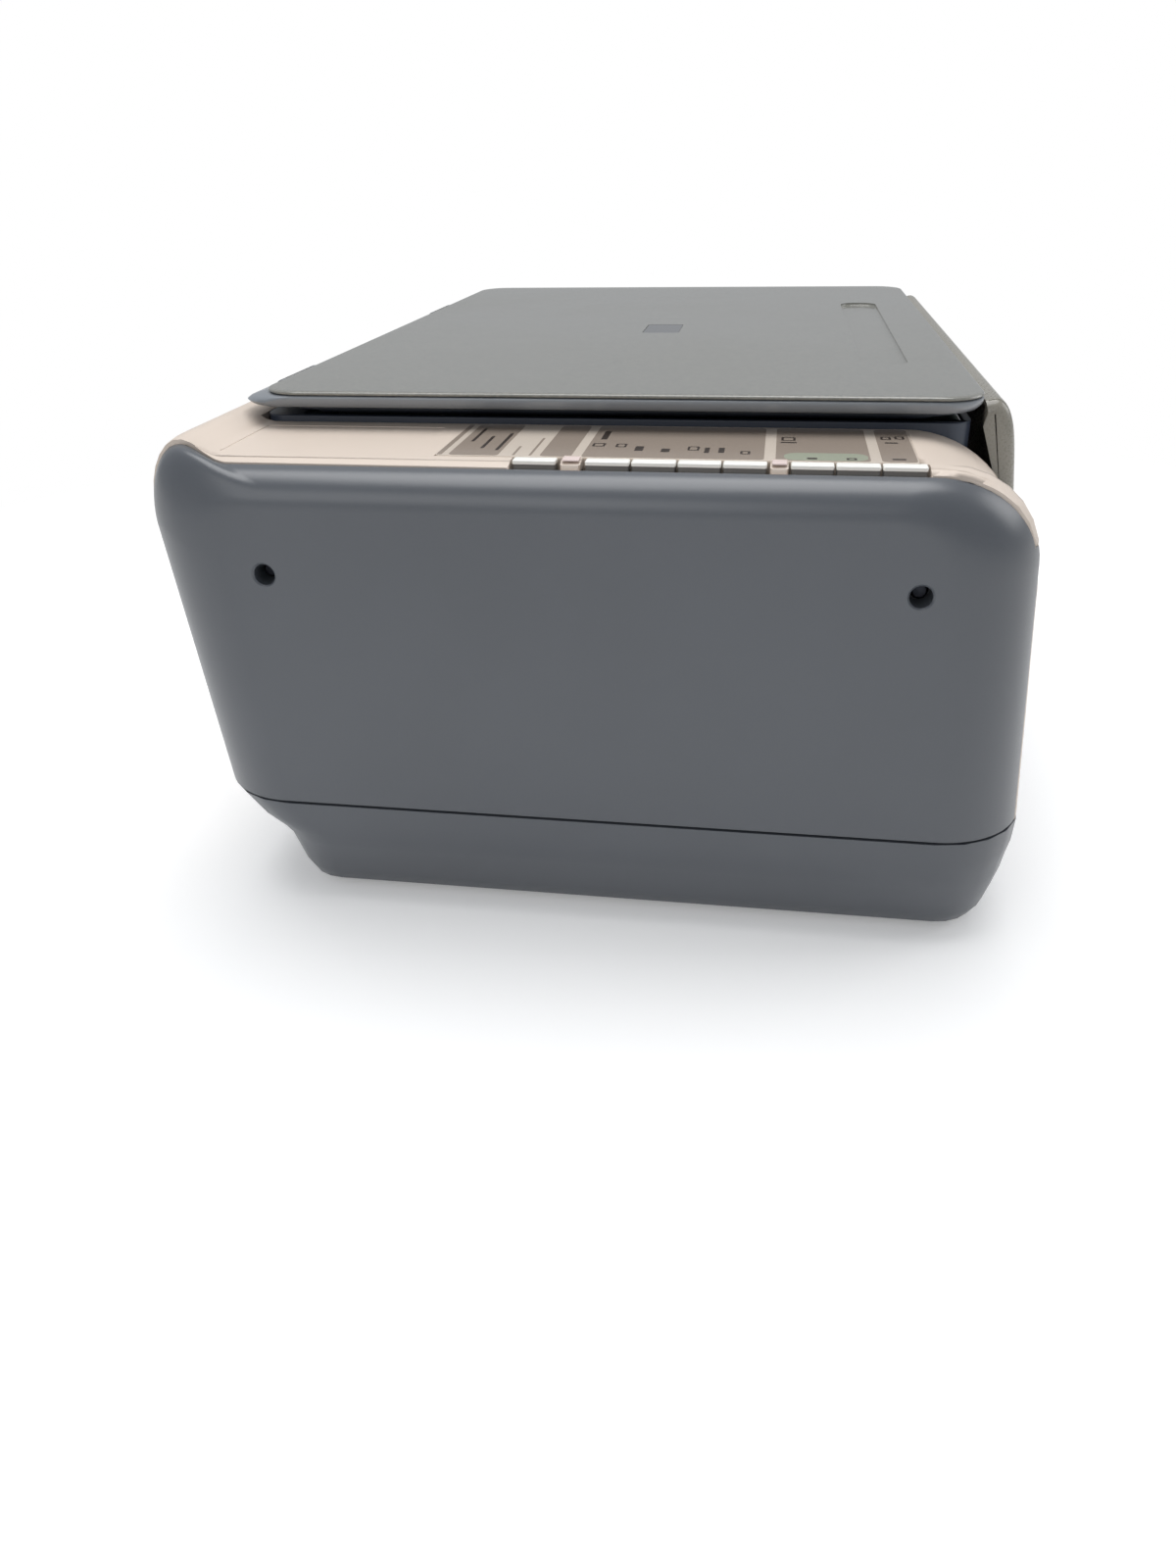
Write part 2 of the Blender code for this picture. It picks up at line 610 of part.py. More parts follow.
def make_scanner():
    """Dark bed, platen glass, guide rod and the scan carriage under the glass."""
    bed = box("scanner_bed", BED_X, BED_Y, BED_Z)
    soften_where(bed, 8.0, 4, lambda a, b: abs(a.z - b.z) > 5)
    cavity = box("bed_cavity", (-150.0, 163.0), (-114.5, 121.6), (130.5, 153.0), cutter=True)
    window = box("bed_window", WINDOW_X, WINDOW_Y, (140, 170), cutter=True)
    rebate = box("glass_rebate", (GLASS_X[0] - 0.4, GLASS_X[1] + 0.4), (GLASS_Y[0] - 0.4, GLASS_Y[1] + 0.4),
                 (GLASS_Z[0] - GAP, 170), cutter=True)
    cut(bed, cavity, window, rebate)
    paint(bed, NAVY, 0.5)
    glass = box("scanner_glass", GLASS_X, GLASS_Y, GLASS_Z)
    paint(glass, (0.35, 0.4, 0.4, 1), 0.05)
    scan_rod = rod("scan_rod", SCAN_ROD_RADIUS, "X", SCAN_ROD, (-149.7, 162.7), 16)
    paint(scan_rod, STEEL, 0.25, 1.0)
    head = box("scan_carriage", (-140.0, -118.0), (-108.0, 104.0), (132.0, 151.0), bevel=1.0, segments=1)
    slot = box("scan_slit", (-131.0, -127.0), (-104.0, 100.0), (146.5, 160.0), cutter=True)
    cut(head, slot, rod("scan_bore", SCAN_ROD_RADIUS + GAP, "X", SCAN_ROD, (-150, -100), 16, cutter=True))
    paint(head, DARK, 0.5)


def lid_ring(inset, z, rear):
    """Rounded rectangle of the lid at one height, drawn in by an inset and more at its rear."""
    xs = (LID_X[0] + inset, LID_X[1] - inset)
    ys = (LID_Y[0] + inset, LID_Y[1] - inset - rear)
    return plan_ring(xs, ys, z, max(LID_CORNER - inset * 0.6, 4.0))


def make_lid():
    """Lid cover with a rolled edge, the tapered frame under it and the white pad."""
    cover = lofted("lid_cover", [lid_ring(*place) for place in LID_PROFILE])
    grip = box("lid_grip", GRIP_X, GRIP_Y, (LID_TOP - GRIP_DEPTH, 175), cutter=True)
    soften_where(grip, 7.5, 4, lambda a, b: abs(a.z - b.z) > 3)
    cut(cover, grip)
    paint(cover, LID_GREY, 0.15)
    frame = lofted("lid_frame", [lid_ring(*place) for place in LID_FRAME_PROFILE])
    pocket = box("pad_pocket", (PAD_X[0] - 0.5, PAD_X[1] + 0.5), (PAD_Y[0] - 0.5, PAD_Y[1] + 0.5),
                 (150, PAD_Z[1] + GAP), cutter=True)
    cut(frame, pocket)
    for side, x in HINGE_XS.items():
        lug = HINGE_HALF + LUG_GAP
        for k, lug_x in enumerate((x - lug - LUG_WIDTH, x + lug)):
            name = "%s_lug_%d" % (side, k)
            span = (lug_x, lug_x + LUG_WIDTH)
            join(frame, box(name + "_bar", span, (108.0, HINGE_PIN[0]), (161.4, 163.9), cutter=True))
            join(frame, rod(name, BARREL_RADIUS, "X", HINGE_PIN, span, 20, cutter=True))
        span = (x - 20, x + 20)
        cut(frame, rod(side + "_lug_bore", PIN_RADIUS + 0.4, "X", HINGE_PIN, span, 16, cutter=True))
    paint(frame, NAVY, 0.5)
    pad = box("lid_pad", PAD_X, PAD_Y, PAD_Z, bevel=0.8, segments=1)
    paint(pad, (0.8, 0.8, 0.78, 1), 0.8)
    for side, x in HINGE_XS.items():
        span = (x - HINGE_HALF, x + HINGE_HALF)
        reach = HINGE_HALF + LUG_GAP + LUG_WIDTH + 0.4
        leg = box("hinge_" + side, span, HINGE_LEG_Y, (126.0, HINGE_PIN[1] - 1.0))
        join(leg, rod(side + "_barrel", BARREL_RADIUS, "X", HINGE_PIN, span, 20, cutter=True))
        join(leg, rod(side + "_pin", PIN_RADIUS, "X", HINGE_PIN, (x - reach, x + reach), 16, cutter=True))
        paint(leg, DARK, 0.5)


def make_front_cover():
    """Cartridge cover: a convex shell that folds down about its lower edge."""
    outline = list(COVER_FACE) + [(FRONT_Y, COVER_FOOT_Z)] + list(COVER_BACK)
    cover = slab("front_cover", [outline], "X", FRONT_X)

    def on_face(point):
        """Whether a point lies on the outer face, and not on the straight inner one."""
        return point.y < COVER_FACE[0][0] - 0.4 and (point.z > 150 or point.y < 0.17 * (point.z - 97) - 136)

    soften_where(cover, COVER_END_RADIUS, 4, lambda a, b: abs(a.x - b.x) < 0.1 and on_face(a) and on_face(b))
    shell = [(y + COVER_THICK, z - 2.2) for y, z in COVER_FACE]
    inner = [(-110.0, shell[0][1])] + shell + [(FRONT_Y + COVER_THICK + 0.1, 90.0), (-110.0, 90.0)]
    span = (FRONT_X[0] + 2.6, FRONT_X[1] - 2.6)
    cut(cover, slab("cover_hollow", [inner], "X", span, cutter=True))
    hang(cover, (0, *COVER_PIVOT))
    paint(cover, LID_GREY, 0.3)


def make_paper_tray():
    """Folding tray, with a sliding extender and a width guide on its inner face."""
    tray = slab("paper_tray", [rounded(TRAY_OUTLINE, 3)], "X", FRONT_X)
    for k, x in enumerate((FRONT_X[0] + 0.2, FRONT_X[1] - 0.2 - TRAY_RIB_WIDTH)):
        join(tray, slab("tray_rib_%d" % k, [TRAY_RIB], "X", (x, x + TRAY_RIB_WIDTH), cutter=True))
    pin_span = (FRONT_X[0] - 2.8, FRONT_X[1] + 2.8)
    join(tray, rod("tray_pin", TRAY_PIN_RADIUS, "X", TRAY_PIVOT, pin_span, 16, cutter=True))
    hang(tray, (0, *TRAY_PIVOT))
    paint(tray, BLUE_GREY, 0.5)
    left, right = EXTENDER_X
    low, high = EXTENDER_Z
    plate = rounded([(left, low, 2), (right, low, 2), (right, high, 12), (left, high, 12)], 4)
    face = TRAY_BACK_Y + 0.4
    extender = slab("tray_extender", [plate], "Y", (face, face + 2.2))
    paint(extender, BLUE_GREY, 0.5)
    guide = box("paper_guide", GUIDE_X, (face, face + 2.0), GUIDE_Z, bevel=0.5, segments=1)
    join(guide, box("guide_fence", (GUIDE_X[1] - 3.0, GUIDE_X[1] - 0.2), (face + 1.2, -120.5),
                    (GUIDE_Z[0] + 2.0, GUIDE_Z[1] - 2.0), cutter=True))
    paint(guide, BLUE_GREY, 0.5)


def make_rear_door():
    """Jam-clearing door that pulls off the back."""
    low, high = REAR_DOOR_Z[0] + 0.6, REAR_DOOR_Z[1] - 0.6
    outline = [(rear_y(low) - WALL, low), (rear_y(low), low),
               (rear_y(high), high), (rear_y(high) - WALL, high)]
    door = slab("rear_door", [outline], "X", (REAR_DOOR_X[0] + 0.6, REAR_DOOR_X[1] - 0.6))
    for k in range(7):
        x = DOOR_RIB_PITCH * (k - 3)
        root = WALL - 0.5
        rib = [(rear_y(60) - root, 60.0), (rear_y(98) - root, 98.0), (118.5, 90.0), (115.5, 68.0)]
        join(door, slab("door_rib_%d" % k, [rib], "X", (x, x + 2.0), cutter=True))
    paint(door, DARK, 0.5)


def make_controls():
    """Overlay film, eight sprung keys and the board with a switch under each key."""
    overlay = box("control_overlay", OVERLAY_X, OVERLAY_Y, OVERLAY_Z)
    paint(overlay, (0.3, 0.25, 0.22, 1), 0.2)
    board = box("control_board", (-205.6, -164.0), (-100.0, 46.0), CONTROL_BOARD_Z)
    for k, (back, front) in enumerate(KEY_EDGES):
        middle = (back + front) / 2
        key = box("key_%d" % (k + 1), KEY_X, (front + KEY_GAP / 2, back - KEY_GAP / 2), KEY_Z,
                  bevel=0.4, segments=1)
        hang(key, ((KEY_X[0] + KEY_X[1]) / 2, middle, KEY_Z[0]))
        paint(key, (0.8, 0.8, 0.78, 1), 0.3)
        switch = box("switch_%d" % (k + 1), (-205.0, -201.8), (middle - 2, middle + 2), (147.0, 150.8),
                     cutter=True)
        join(board, switch)
    paint(board, BOARD_GREEN, 0.5)


def make_electronics():
    """Main board on its legs, with the power inlet and the data socket at its rear edge."""
    board = box("mainboard", BOARD_X, BOARD_Y, BOARD_Z)
    for k, (xs, ys, rise) in enumerate((((168, 184), (48, 64), 3.0), ((188, 198), (56, 66), 12.0),
                                        ((164, 176), (80, 88), 6.0))):
        join(board, box("chip_%d" % k, xs, ys, (BOARD_Z[0] + 1.0, BOARD_Z[1] + rise), cutter=True))
    paint(board, BOARD_GREEN, 0.5)
    inlet = box("power_inlet", INLET_X, INLET_Y, INLET_Z)
    face = INLET_Y[1]
    mouth_x = (INLET_X[0] + 3.0, INLET_X[1] - 3.0)
    mouth_z = (INLET_Z[0] + 3.5, INLET_Z[1] - 3.5)
    cut(inlet, box("inlet_mouth", mouth_x, (face - 13.3, face + 10), mouth_z, cutter=True))
    middle = (INLET_X[0] + INLET_X[1]) / 2
    for k, x in enumerate((middle - 4.4, middle + 4.4)):
        join(inlet, rod("inlet_pin_%d" % k, 1.1, "Y", (x, 55.0), (face - 14.3, face - 6.3), 10, cutter=True))
    paint(inlet, DARK, 0.5)
    usb = box("usb_socket", USB_X, USB_Y, USB_Z)
    face = USB_Y[1]
    mouth_x = (USB_X[0] + 2.0, USB_X[1] - 2.0)
    mouth_z = (USB_Z[0] + 2.0, USB_Z[1] - 2.0)
    cut(usb, box("usb_mouth", mouth_x, (face - 10.0, face + 10), mouth_z, cutter=True))
    middle = (USB_X[0] + USB_X[1]) / 2
    tongue_x = (middle - 2.1, middle + 2.1)
    join(usb, box("usb_tongue", tongue_x, (face - 11.0, face - 5.5), (50.7, 53.3), cutter=True))
    paint(usb, STEEL, 0.3, 1.0)


def gear_outline(centre, teeth, phase):
    """Straight-flanked gear wheel with one tooth pointing along the phase angle."""
    pitch = teeth * MODULE / 2
    step = 2 * math.pi / teeth
    points = []
    for k in range(teeth):
        middle = phase + k * step
        for share, reach in ((-0.29, -1.05), (-0.13, 0.75), (0.13, 0.75), (0.29, -1.05)):
            radius = pitch + reach * MODULE
            angle = middle + share * step
            points.append((centre[0] + radius * math.cos(angle), centre[1] + radius * math.sin(angle)))
    return points


def feed_centre():
    """Axis of the big feed roller: a pinion's width from the transport roller's gear."""
    reach = (FEED_TEETH / 2 + PINION_TEETH + ROLLER_TEETH / 2) * MODULE
    drop = math.sqrt(reach ** 2 - (FEED_Y - TRANSPORT[0]) ** 2)
    return FEED_Y, TRANSPORT[1] - drop


def mesh_phase(phase, teeth, direction, other_teeth):
    """Phase of the next wheel, seen in a direction, that puts its gap over this wheel's tooth."""
    step = 2 * math.pi / teeth
    past = (direction - phase) % step / step
    return direction + math.pi + 2 * math.pi / other_teeth * (past - 0.5)


def make_paper_drive():
    """Feed, transport and exit rollers with moulded gears, the pinion, the idler and the motor."""
    feed = feed_centre()
    slope = math.atan2(feed[1] - TRANSPORT[1], feed[0] - TRANSPORT[0])
    near = (ROLLER_TEETH + PINION_TEETH) / 2 * MODULE
    pinion = (TRANSPORT[0] + near * math.cos(slope), TRANSPORT[1] + near * math.sin(slope))
    idler = ((TRANSPORT[0] + EXIT[0]) / 2, TRANSPORT[1])
    pinion_phase = slope
    feed_phase = mesh_phase(pinion_phase, PINION_TEETH, slope, FEED_TEETH)
    transport_phase = mesh_phase(pinion_phase, PINION_TEETH, slope + math.pi, ROLLER_TEETH)
    idler_phase = mesh_phase(transport_phase, ROLLER_TEETH, math.pi, IDLER_TEETH)
    exit_phase = mesh_phase(idler_phase, IDLER_TEETH, math.pi, ROLLER_TEETH)
    shafts = (
        ("feed_roller", feed, FEED_TEETH, feed_phase, 4.0, FEED_RADIUS, (-62.0, 62.0)),
        ("transport_roller", TRANSPORT, ROLLER_TEETH, transport_phase, 3.0, 6.0, (-128.0, 84.0)),
        ("exit_roller", EXIT, ROLLER_TEETH, exit_phase, 3.0, 5.0, (-128.0, 84.0)),
    )
    for name, centre, teeth, phase, shaft, tyre, tyre_x in shafts:
        profile = [(0, 156.0), (shaft, 156.0), (shaft, tyre_x[1]), (tyre, tyre_x[1]), (tyre, tyre_x[0]),
                   (shaft, tyre_x[0]), (shaft, -152.0), (0, -152.0)]
        roller = turned(name, profile, "X", (0, *centre), 24)
        join(roller, slab(name + "_gear", [gear_outline(centre, teeth, phase)], "X", GEAR_X, cutter=True))
        paint(roller, RUBBER, 0.7)
    gear = slab("drive_pinion", [gear_outline(pinion, PINION_TEETH, pinion_phase), circle(pinion, 1.9, 12)],
                "X", GEAR_X)
    paint(hang(gear, (0, *pinion)), NATURAL, 0.5)
    gear = slab("idler_gear", [gear_outline(idler, IDLER_TEETH, idler_phase), circle(idler, 2.4, 12)],
                "X", GEAR_X)
    paint(hang(gear, (0, *idler)), NATURAL, 0.5)
    profile = [(0, -141.0), (1.5, -141.0), (1.5, -150.3), (14.0, -150.3), (14.0, -178.0), (0, -178.0)]
    motor = turned("feed_motor", profile, "X", (0, *pinion), 20)
    paint(motor, STEEL, 0.35, 1.0)
    return feed, pinion, idler


def make_frames(feed, pinion, idler):
    """Two steel side plates that carry the shafts and rods."""
    for side, span in FRAME_X.items():
        outline = rounded([(-34.0, 5.3, 0), (92.0, 5.3, 0), (92.0, 20.0, 0), (106.0, 38.0, 4),
                           (106.0, 88.0, 12), (76.0, 126.0, 8), (-34.0, 126.0, 12)], 3)
        holes = [circle(feed, 4.4, 16), circle(TRANSPORT, 3.4, 12), circle(EXIT, 3.4, 12),
                 circle(ROD, ROD_RADIUS + 0.4, 16)]
        if side == "left":
            holes.append(circle(pinion, 3.0, 12))
        frame = slab("side_frame_" + side, [outline] + holes, "X", span)
        if side == "left":
            join(frame, rod("idler_axle", 2.0, "X", idler, (-148.5, -139.8), 12, cutter=True))
        paint(frame, STEEL, 0.4, 1.0)


def make_carriage_drive():
    """Guide rod, rear rail, motor, pulleys and the toothed belt that pulls the print carriage."""
    guide = rod("guide_rod", ROD_RADIUS, "X", ROD, (-152.0, 156.0), 20)
    paint(guide, STEEL, 0.2, 1.0)
    rail_x = (FRAME_X["left"][1] + GAP, FRAME_X["right"][0] - GAP)
    shape = [(56.5, 96.0), (58.5, 96.0), (58.5, 123.4), (70.0, 123.4), (70.0, 125.4), (56.5, 125.4)]
    rail = slab("rear_rail", [shape], "X", rail_x)
    cut(rail, rod("motor_hole", 3.0, "Y", (PULLEY_XS[0], BELT_Z), (50, 64), 12, cutter=True))
    join(rail, rod("idler_pin", 1.5, "Y", (PULLEY_XS[1], BELT_Z), (51.0, 57.0), 12, cutter=True))
    paint(rail, STEEL, 0.4, 1.0)
    profile = [(0, 88.0), (13.0, 88.0), (13.0, 58.8), (1.5, 58.8), (1.5, 51.0), (0, 51.0)]
    motor = turned("carriage_motor", profile, "Y", (PULLEY_XS[0], 0, BELT_Z), 20)
    paint(motor, STEEL, 0.35, 1.0)
    for name, x in zip(("carriage_pulley", "idler_pulley"), PULLEY_XS):
        pulley = slab(name, [circle((x, BELT_Z), PULLEY_RADIUS), circle((x, BELT_Z), 1.9, 12)], "Y",
                      (52.0, 55.6))
        paint(hang(pulley, (x, 53.8, BELT_Z)), NATURAL, 0.5)
    loops = []
    for radius in (PULLEY_RADIUS + 1.2, PULLEY_RADIUS + 0.3):
        loops.append(rounded([(PULLEY_XS[0] - radius, BELT_Z - radius, radius - 0.01),
                              (PULLEY_XS[1] + radius, BELT_Z - radius, radius - 0.01),
                              (PULLEY_XS[1] + radius, BELT_Z + radius, radius - 0.01),
                              (PULLEY_XS[0] - radius, BELT_Z + radius, radius - 0.01)], 6))
    belt = slab("carriage_belt", loops, "Y", (52.4, 55.2))
    paint(belt, RUBBER, 0.8)


def make_print_carriage():
    """Print carriage parked at the right, with a black and a colour cartridge."""
    middle = (CARRIAGE_X[0] + CARRIAGE_X[1]) / 2
    body = box("print_carriage", CARRIAGE_X, (-44.0, 50.6), (78.0, 124.0), bevel=2.0)
    join(body, box("belt_clamp", (middle - 8, middle + 8), (49.0, 55.4), (97.0, 102.0), cutter=True))
    cut(body, rod("carriage_bore", ROD_RADIUS + 0.3, "X", ROD, (60, 170), 20, cutter=True))
    for name, x in (("black", middle - 15.0), ("color", middle + 15.0)):
        half = CARTRIDGE_WIDTH / 2 + 0.5
        cut(body, box(name + "_bay", (x - half, x + half), (-60.0, 18.0), (81.0, 130.0), cutter=True))
        cut(body, box(name + "_slot", (x - 8.6, x + 8.6), (-60.0, 14.0), (70.0, 84.0), cutter=True))
        half -= 0.5
        ink = box("cartridge_" + name, (x - half, x + half), (-58.0, 17.0), (81.6, 118.0), bevel=1.5)
        join(ink, box(name + "_nozzle", (x - 7.8, x + 7.8), (-3.0, 13.0), (76.6, 83.0), cutter=True))
        notch_x = (x - half - 1, x + half + 1)
        notch = box(name + "_notch", notch_x, (-70.0, -48.0), (108.0, 130.0), cutter=True)
        cut(ink, notch)
        paint(ink, DARK if name == "black" else (0.25, 0.27, 0.3, 1), 0.4)
    paint(body, DARK, 0.5)


def make_paper_path():
    """Platen under the print zone, the bed that the stack lies on and the capping sled."""
    platen = box("platen", (-139.2, 151.6), SLED_Y, PLATEN_Z)
    join(platen, box("print_table", PRINT_X, SLED_Y, (PLATEN_Z[1] - 1.0, TABLE_TOP), cutter=True))
    rib_y = (SLED_Y[0] + 1.0, SLED_Y[1] - 1.0)
    for k in range(9):
        x = -130.0 + 25.0 * k
        join(platen, box("table_rib_%d" % k, (x, x + 1.6), rib_y, (TABLE_TOP - 1.0, 73.4), cutter=True))
    paint(platen, DARK, 0.5)
    bed = box("paper_bed", (-138.0, 150.0), (-117.0, 62.0), (BED_TOP - 2.0, BED_TOP))
    leg_z = (FLOOR_Z + GAP, BED_TOP - 1.0)
    for k, (x, y) in enumerate(((-130.0, -108.0), (130.0, -108.0), (-130.0, 40.0), (130.0, 40.0))):
        join(bed, box("bed_leg_%d" % k, (x, x + 10.0), (y, y + 10.0), leg_z, cutter=True))
    join(bed, box("stack_wall", (102.0, 104.5), (-112.0, 60.0), (BED_TOP - 1.0, 28.0), cutter=True))
    paint(bed, DARK, 0.5)
    sled = box("service_sled", (90.0, 144.0), SLED_Y, (PLATEN_Z[1] + 0.4, 70.0), bevel=0.8, segments=1)
    for k, x in enumerate((103.0, 133.0)):
        cap = box("cap_%d" % k, (x - 6.5, x + 6.5), (-4.0, 13.5), (69.0, 75.6), cutter=True)
        cut(cap, box("cap_well_%d" % k, (x - 5.0, x + 5.0), (-2.5, 12.0), (72.0, 80.0), cutter=True))
        join(sled, cap)
    paint(sled, NATURAL, 0.6)


def smooth_round_pieces():
    """Shade the curved surfaces smooth and keep their real edges sharp."""
    for obj in bpy.data.collections[PARTS].objects:
        if obj.data.polygons:
            obj.data.shade_smooth()
            obj.data.set_sharp_from_angle(angle=math.radians(35))


def main():
    """Build the whole printer."""
    clear_scene()
    for side, sign in (("left", -1), ("right", 1)):
        make_end_panel(side, sign)
    make_upper_case()
    make_lower_case()
    make_scanner()
    make_lid()
    make_front_cover()
    make_paper_tray()
    make_rear_door()
    make_controls()
    make_electronics()
    make_frames(*make_paper_drive())
    make_carriage_drive()
    make_print_carriage()
    make_paper_path()
    smooth_round_pieces()


main()
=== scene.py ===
"""Looks of the all-in-one inkjet printer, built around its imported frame.

X runs to the user's right, Y to the back and Z up. Sizes are in millimetres and MM turns them into metres.
The camera looks at the left end, where the keys are.
"""
import json
import math

import bmesh
import bpy
from mathutils import Matrix, Vector


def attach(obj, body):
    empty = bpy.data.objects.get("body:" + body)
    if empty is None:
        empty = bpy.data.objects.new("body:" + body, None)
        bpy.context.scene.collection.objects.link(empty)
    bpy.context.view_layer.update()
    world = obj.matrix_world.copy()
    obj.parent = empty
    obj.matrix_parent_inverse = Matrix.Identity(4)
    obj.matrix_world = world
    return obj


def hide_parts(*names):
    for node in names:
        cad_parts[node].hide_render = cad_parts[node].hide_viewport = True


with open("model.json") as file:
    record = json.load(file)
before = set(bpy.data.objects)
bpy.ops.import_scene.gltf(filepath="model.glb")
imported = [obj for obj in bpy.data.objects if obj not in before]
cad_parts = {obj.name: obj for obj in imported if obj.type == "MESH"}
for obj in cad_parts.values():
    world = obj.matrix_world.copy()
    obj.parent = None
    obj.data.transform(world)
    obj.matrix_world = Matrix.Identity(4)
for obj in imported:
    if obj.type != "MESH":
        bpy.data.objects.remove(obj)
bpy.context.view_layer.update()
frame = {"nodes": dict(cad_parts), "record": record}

MM = 0.001

# Camera, solved from the photograph's straight edges: long-side focal length in pixels, place and aim
FRAME_LONG = 1600
FOCAL_PIXELS = 1143.13
SENSOR = 36.0
CAMERA_AT = (-536.4, -53.4, 236.75)
CAMERA_YAW = 9.53
CAMERA_PITCH = 29.23
CAMERA_ROLL = -1.24

# Body: side views of it, lofted round the two ends, which lean in towards the foot
BODY_HALF = 221.0
CASE_HALF = 208.9
WALL = 2.5
DECK_Z = 158.0
SPLIT_Z = 41.6
GAP = 0.3
FRONT_FOOT_Y = -142.6
FRONT_LEAN = 0.0892
REAR_FOOT_Y = 137.3
REAR_LEAN = 0.083
FRONT_RADIUS = 30.0
REAR_ROUND = (14.0, 24.0)
ROUND_STEPS = 14
PLAN_RADIUS = 30.0
TURN_X = BODY_HALF - PLAN_RADIUS
END_LEAN = 0.0297
END_PIVOT_Z = 146.0
BORDER_RISE = 4.3
BORDER_SLOPE = 12.0
BORDER_STEPS = 8
FADE_START = 6.0
FADE_LENGTH = 14.0
FADE_ROUND = 6.0

# Cutting tools: heights and half depth that reach past what they cut
TOOL_LOW = 20.0
TOOL_HIGH = 200.0
TOOL_HALF = 170.0
TOOL_FOOT = 90.0

# End panels: their rings stand at these angles round the plan corners
PANEL_ANGLES = (14, 17, *range(20, 91, 5))
PANEL_EDGE_RADIUS = 11.0
PANEL_INNER_X = 209.4
PANEL_TOP_Z = 156.6

# Seam between panel and case: places along Y, each with its distance from the middle
WRAP = ((-170.0, 199.2), (-132.4, 199.2), (-130.6, 203.4), (-124.0, 205.6), (-112.0, 208.0),
        (-100.0, PANEL_INNER_X), (112.0, PANEL_INNER_X), (134.0, 201.5), (170.0, 201.5))
SEAM_RADIUS = 0.3
PANEL_TOOL_X = 180.0
CASE_TOOL_X = 230.0

# Screws of the panels: the boss starts under the skin, the mouth is a chamfer, the seat is deep in the hole
SCREW_Z = 125.0
SCREW_YS = (-98.1, 100.6)
SCREW_HOLE_RADIUS = 3.35
SCREW_BOSS_RADIUS = 5.6
SCREW_BOSS_TOP = 1.6
SCREW_PILOT_RADIUS = 1.9
SCREW_MOUTH_FLARE = 1.7
SCREW_MOUTH = (1.2, 0.5)
SCREW_SEAT = 2.2

# Blocks beside the front cover, whose front edge is rounder than the rim's
BLOCK_RADIUS = 40.5
BLOCK_INNER_X = 147.0
BLOCK_OUTER_X = 199.6
BLOCK_STOPS = (BLOCK_INNER_X - 5, TURN_X, 194.0, 197.0, 199.5, 202.0, 205.4)
BLOCK_TOOL_Y = (-TOOL_HALF, -85.0)
BLOCK_FILL = 6.0

# Fill behind the ledge between block and rim, in steps: how far each is drawn in, and its two ends along X
BLOCK_LEDGE = ((2.2, 199.1, 201.6), (3.4, 201.5, 203.9))
BLOCK_LEDGE_THICK = 2.2

# Rim of the deck beside the panels: a low step, then a slope down to the seam
RIM_STEP_X = 204.4
RIM_STEP = 0.35
RIM_FALL = 1.15
RIM_RADIUS = 0.25

# Opening for the scanner bed
BAY_X = (-153.0, 166.0)
BAY_RADIUS = 0.5

# Shallow dish of the deck behind the film: what stays of the basin
DISH_X = (-199.3, -159.7)
DISH_Y = (55.7, 119.3)
DISH_Z = 157.85

# Scanner lid: (inset, height, more inset at the rear, rise at the rear) up its band and its skin
LID_X = (-164.7, 171.9)
LID_Y = (-119.0, 129.0)
LID_CORNER = 14.0
LID_CORNER_LEAST = 4.0
LID_CORNER_FOLLOW = 0.6
LID_BAND = ((5.0, 164.5, 1.0, 0), (2.6, 164.5, 1.0, 0), (1.9, 164.8, 0.6, 0), (1.2, 165.4, 0.2, 0),
            (0.6, 166.1, 0.3, 0), (0.2, 166.9, 2.0, 0), (0.05, 167.6, 4.5, 0), (0.15, 168.1, 7.0, 0),
            (0.5, 168.4, 8.2, 0), (1.0, 168.5, 8.6, 0), (1.6, 168.45, 8.8, 0), (12.0, 168.4, 9.0, 0))
LID_SKIN = ((12.0, 168.7, 9.0, 0), (1.6, 168.65, 8.8, 0), (0.5, 168.75, 8.7, 0), (0.25, 169.0, 8.7, 0),
            (0.2, 169.3, 8.7, 0), (0.35, 169.6, 8.7, 0), (0.8, 169.85, 8.7, 0), (1.5, 169.97, 8.8, 0),
            (2.5, 170.0, 9.0, 0), (4.5, 170.0, 9.0, 0))
LID_TOP = 170.0
GRIP_X = (-103.0, 89.0)
GRIP_Y = (-100.0, -83.0)
GRIP_DEPTH = 1.2
GRIP_CORNER = 7.5
GRIP_FILLET = 0.9
BADGE_X = (-21.0, 5.5)
BADGE_Y = (-10.5, 5.0)
BADGE_DEPTH = 0.4
BADGE_GAP = 0.15
BADGE_CORNER = 1.4

# Front cover: its curved face from the top down, and its straight back
FRONT_X = (-148.0, 161.0)
FRONT_Y = -138.5
COVER_FOOT_Z = 97.0
COVER_FACE = ((-120.6, 165.8), (-124.6, 166.5), (-128.1, 163.8), (-130.6, 158.2), (-132.2, 150.6),
              (-133.7, 140.0), (-135.1, 130.0), (-136.9, 116.0), (-138.5, 97.0))
COVER_BACK = ((-133.4, COVER_FOOT_Z), (-127.0, 140.0), (-120.6, 158.0))
COVER_END_RADIUS = 4.5
COVER_THICK = (2.3, -2.2)
COVER_SEAM_X = (-145.4, -144.9)
COVER_SEAM_Z = 157.5
COVER_SEAM_DEPTH = 0.45
COVER_SIDE_WALL = 2.6
COVER_HOLLOW = (-110.0, 90.0)

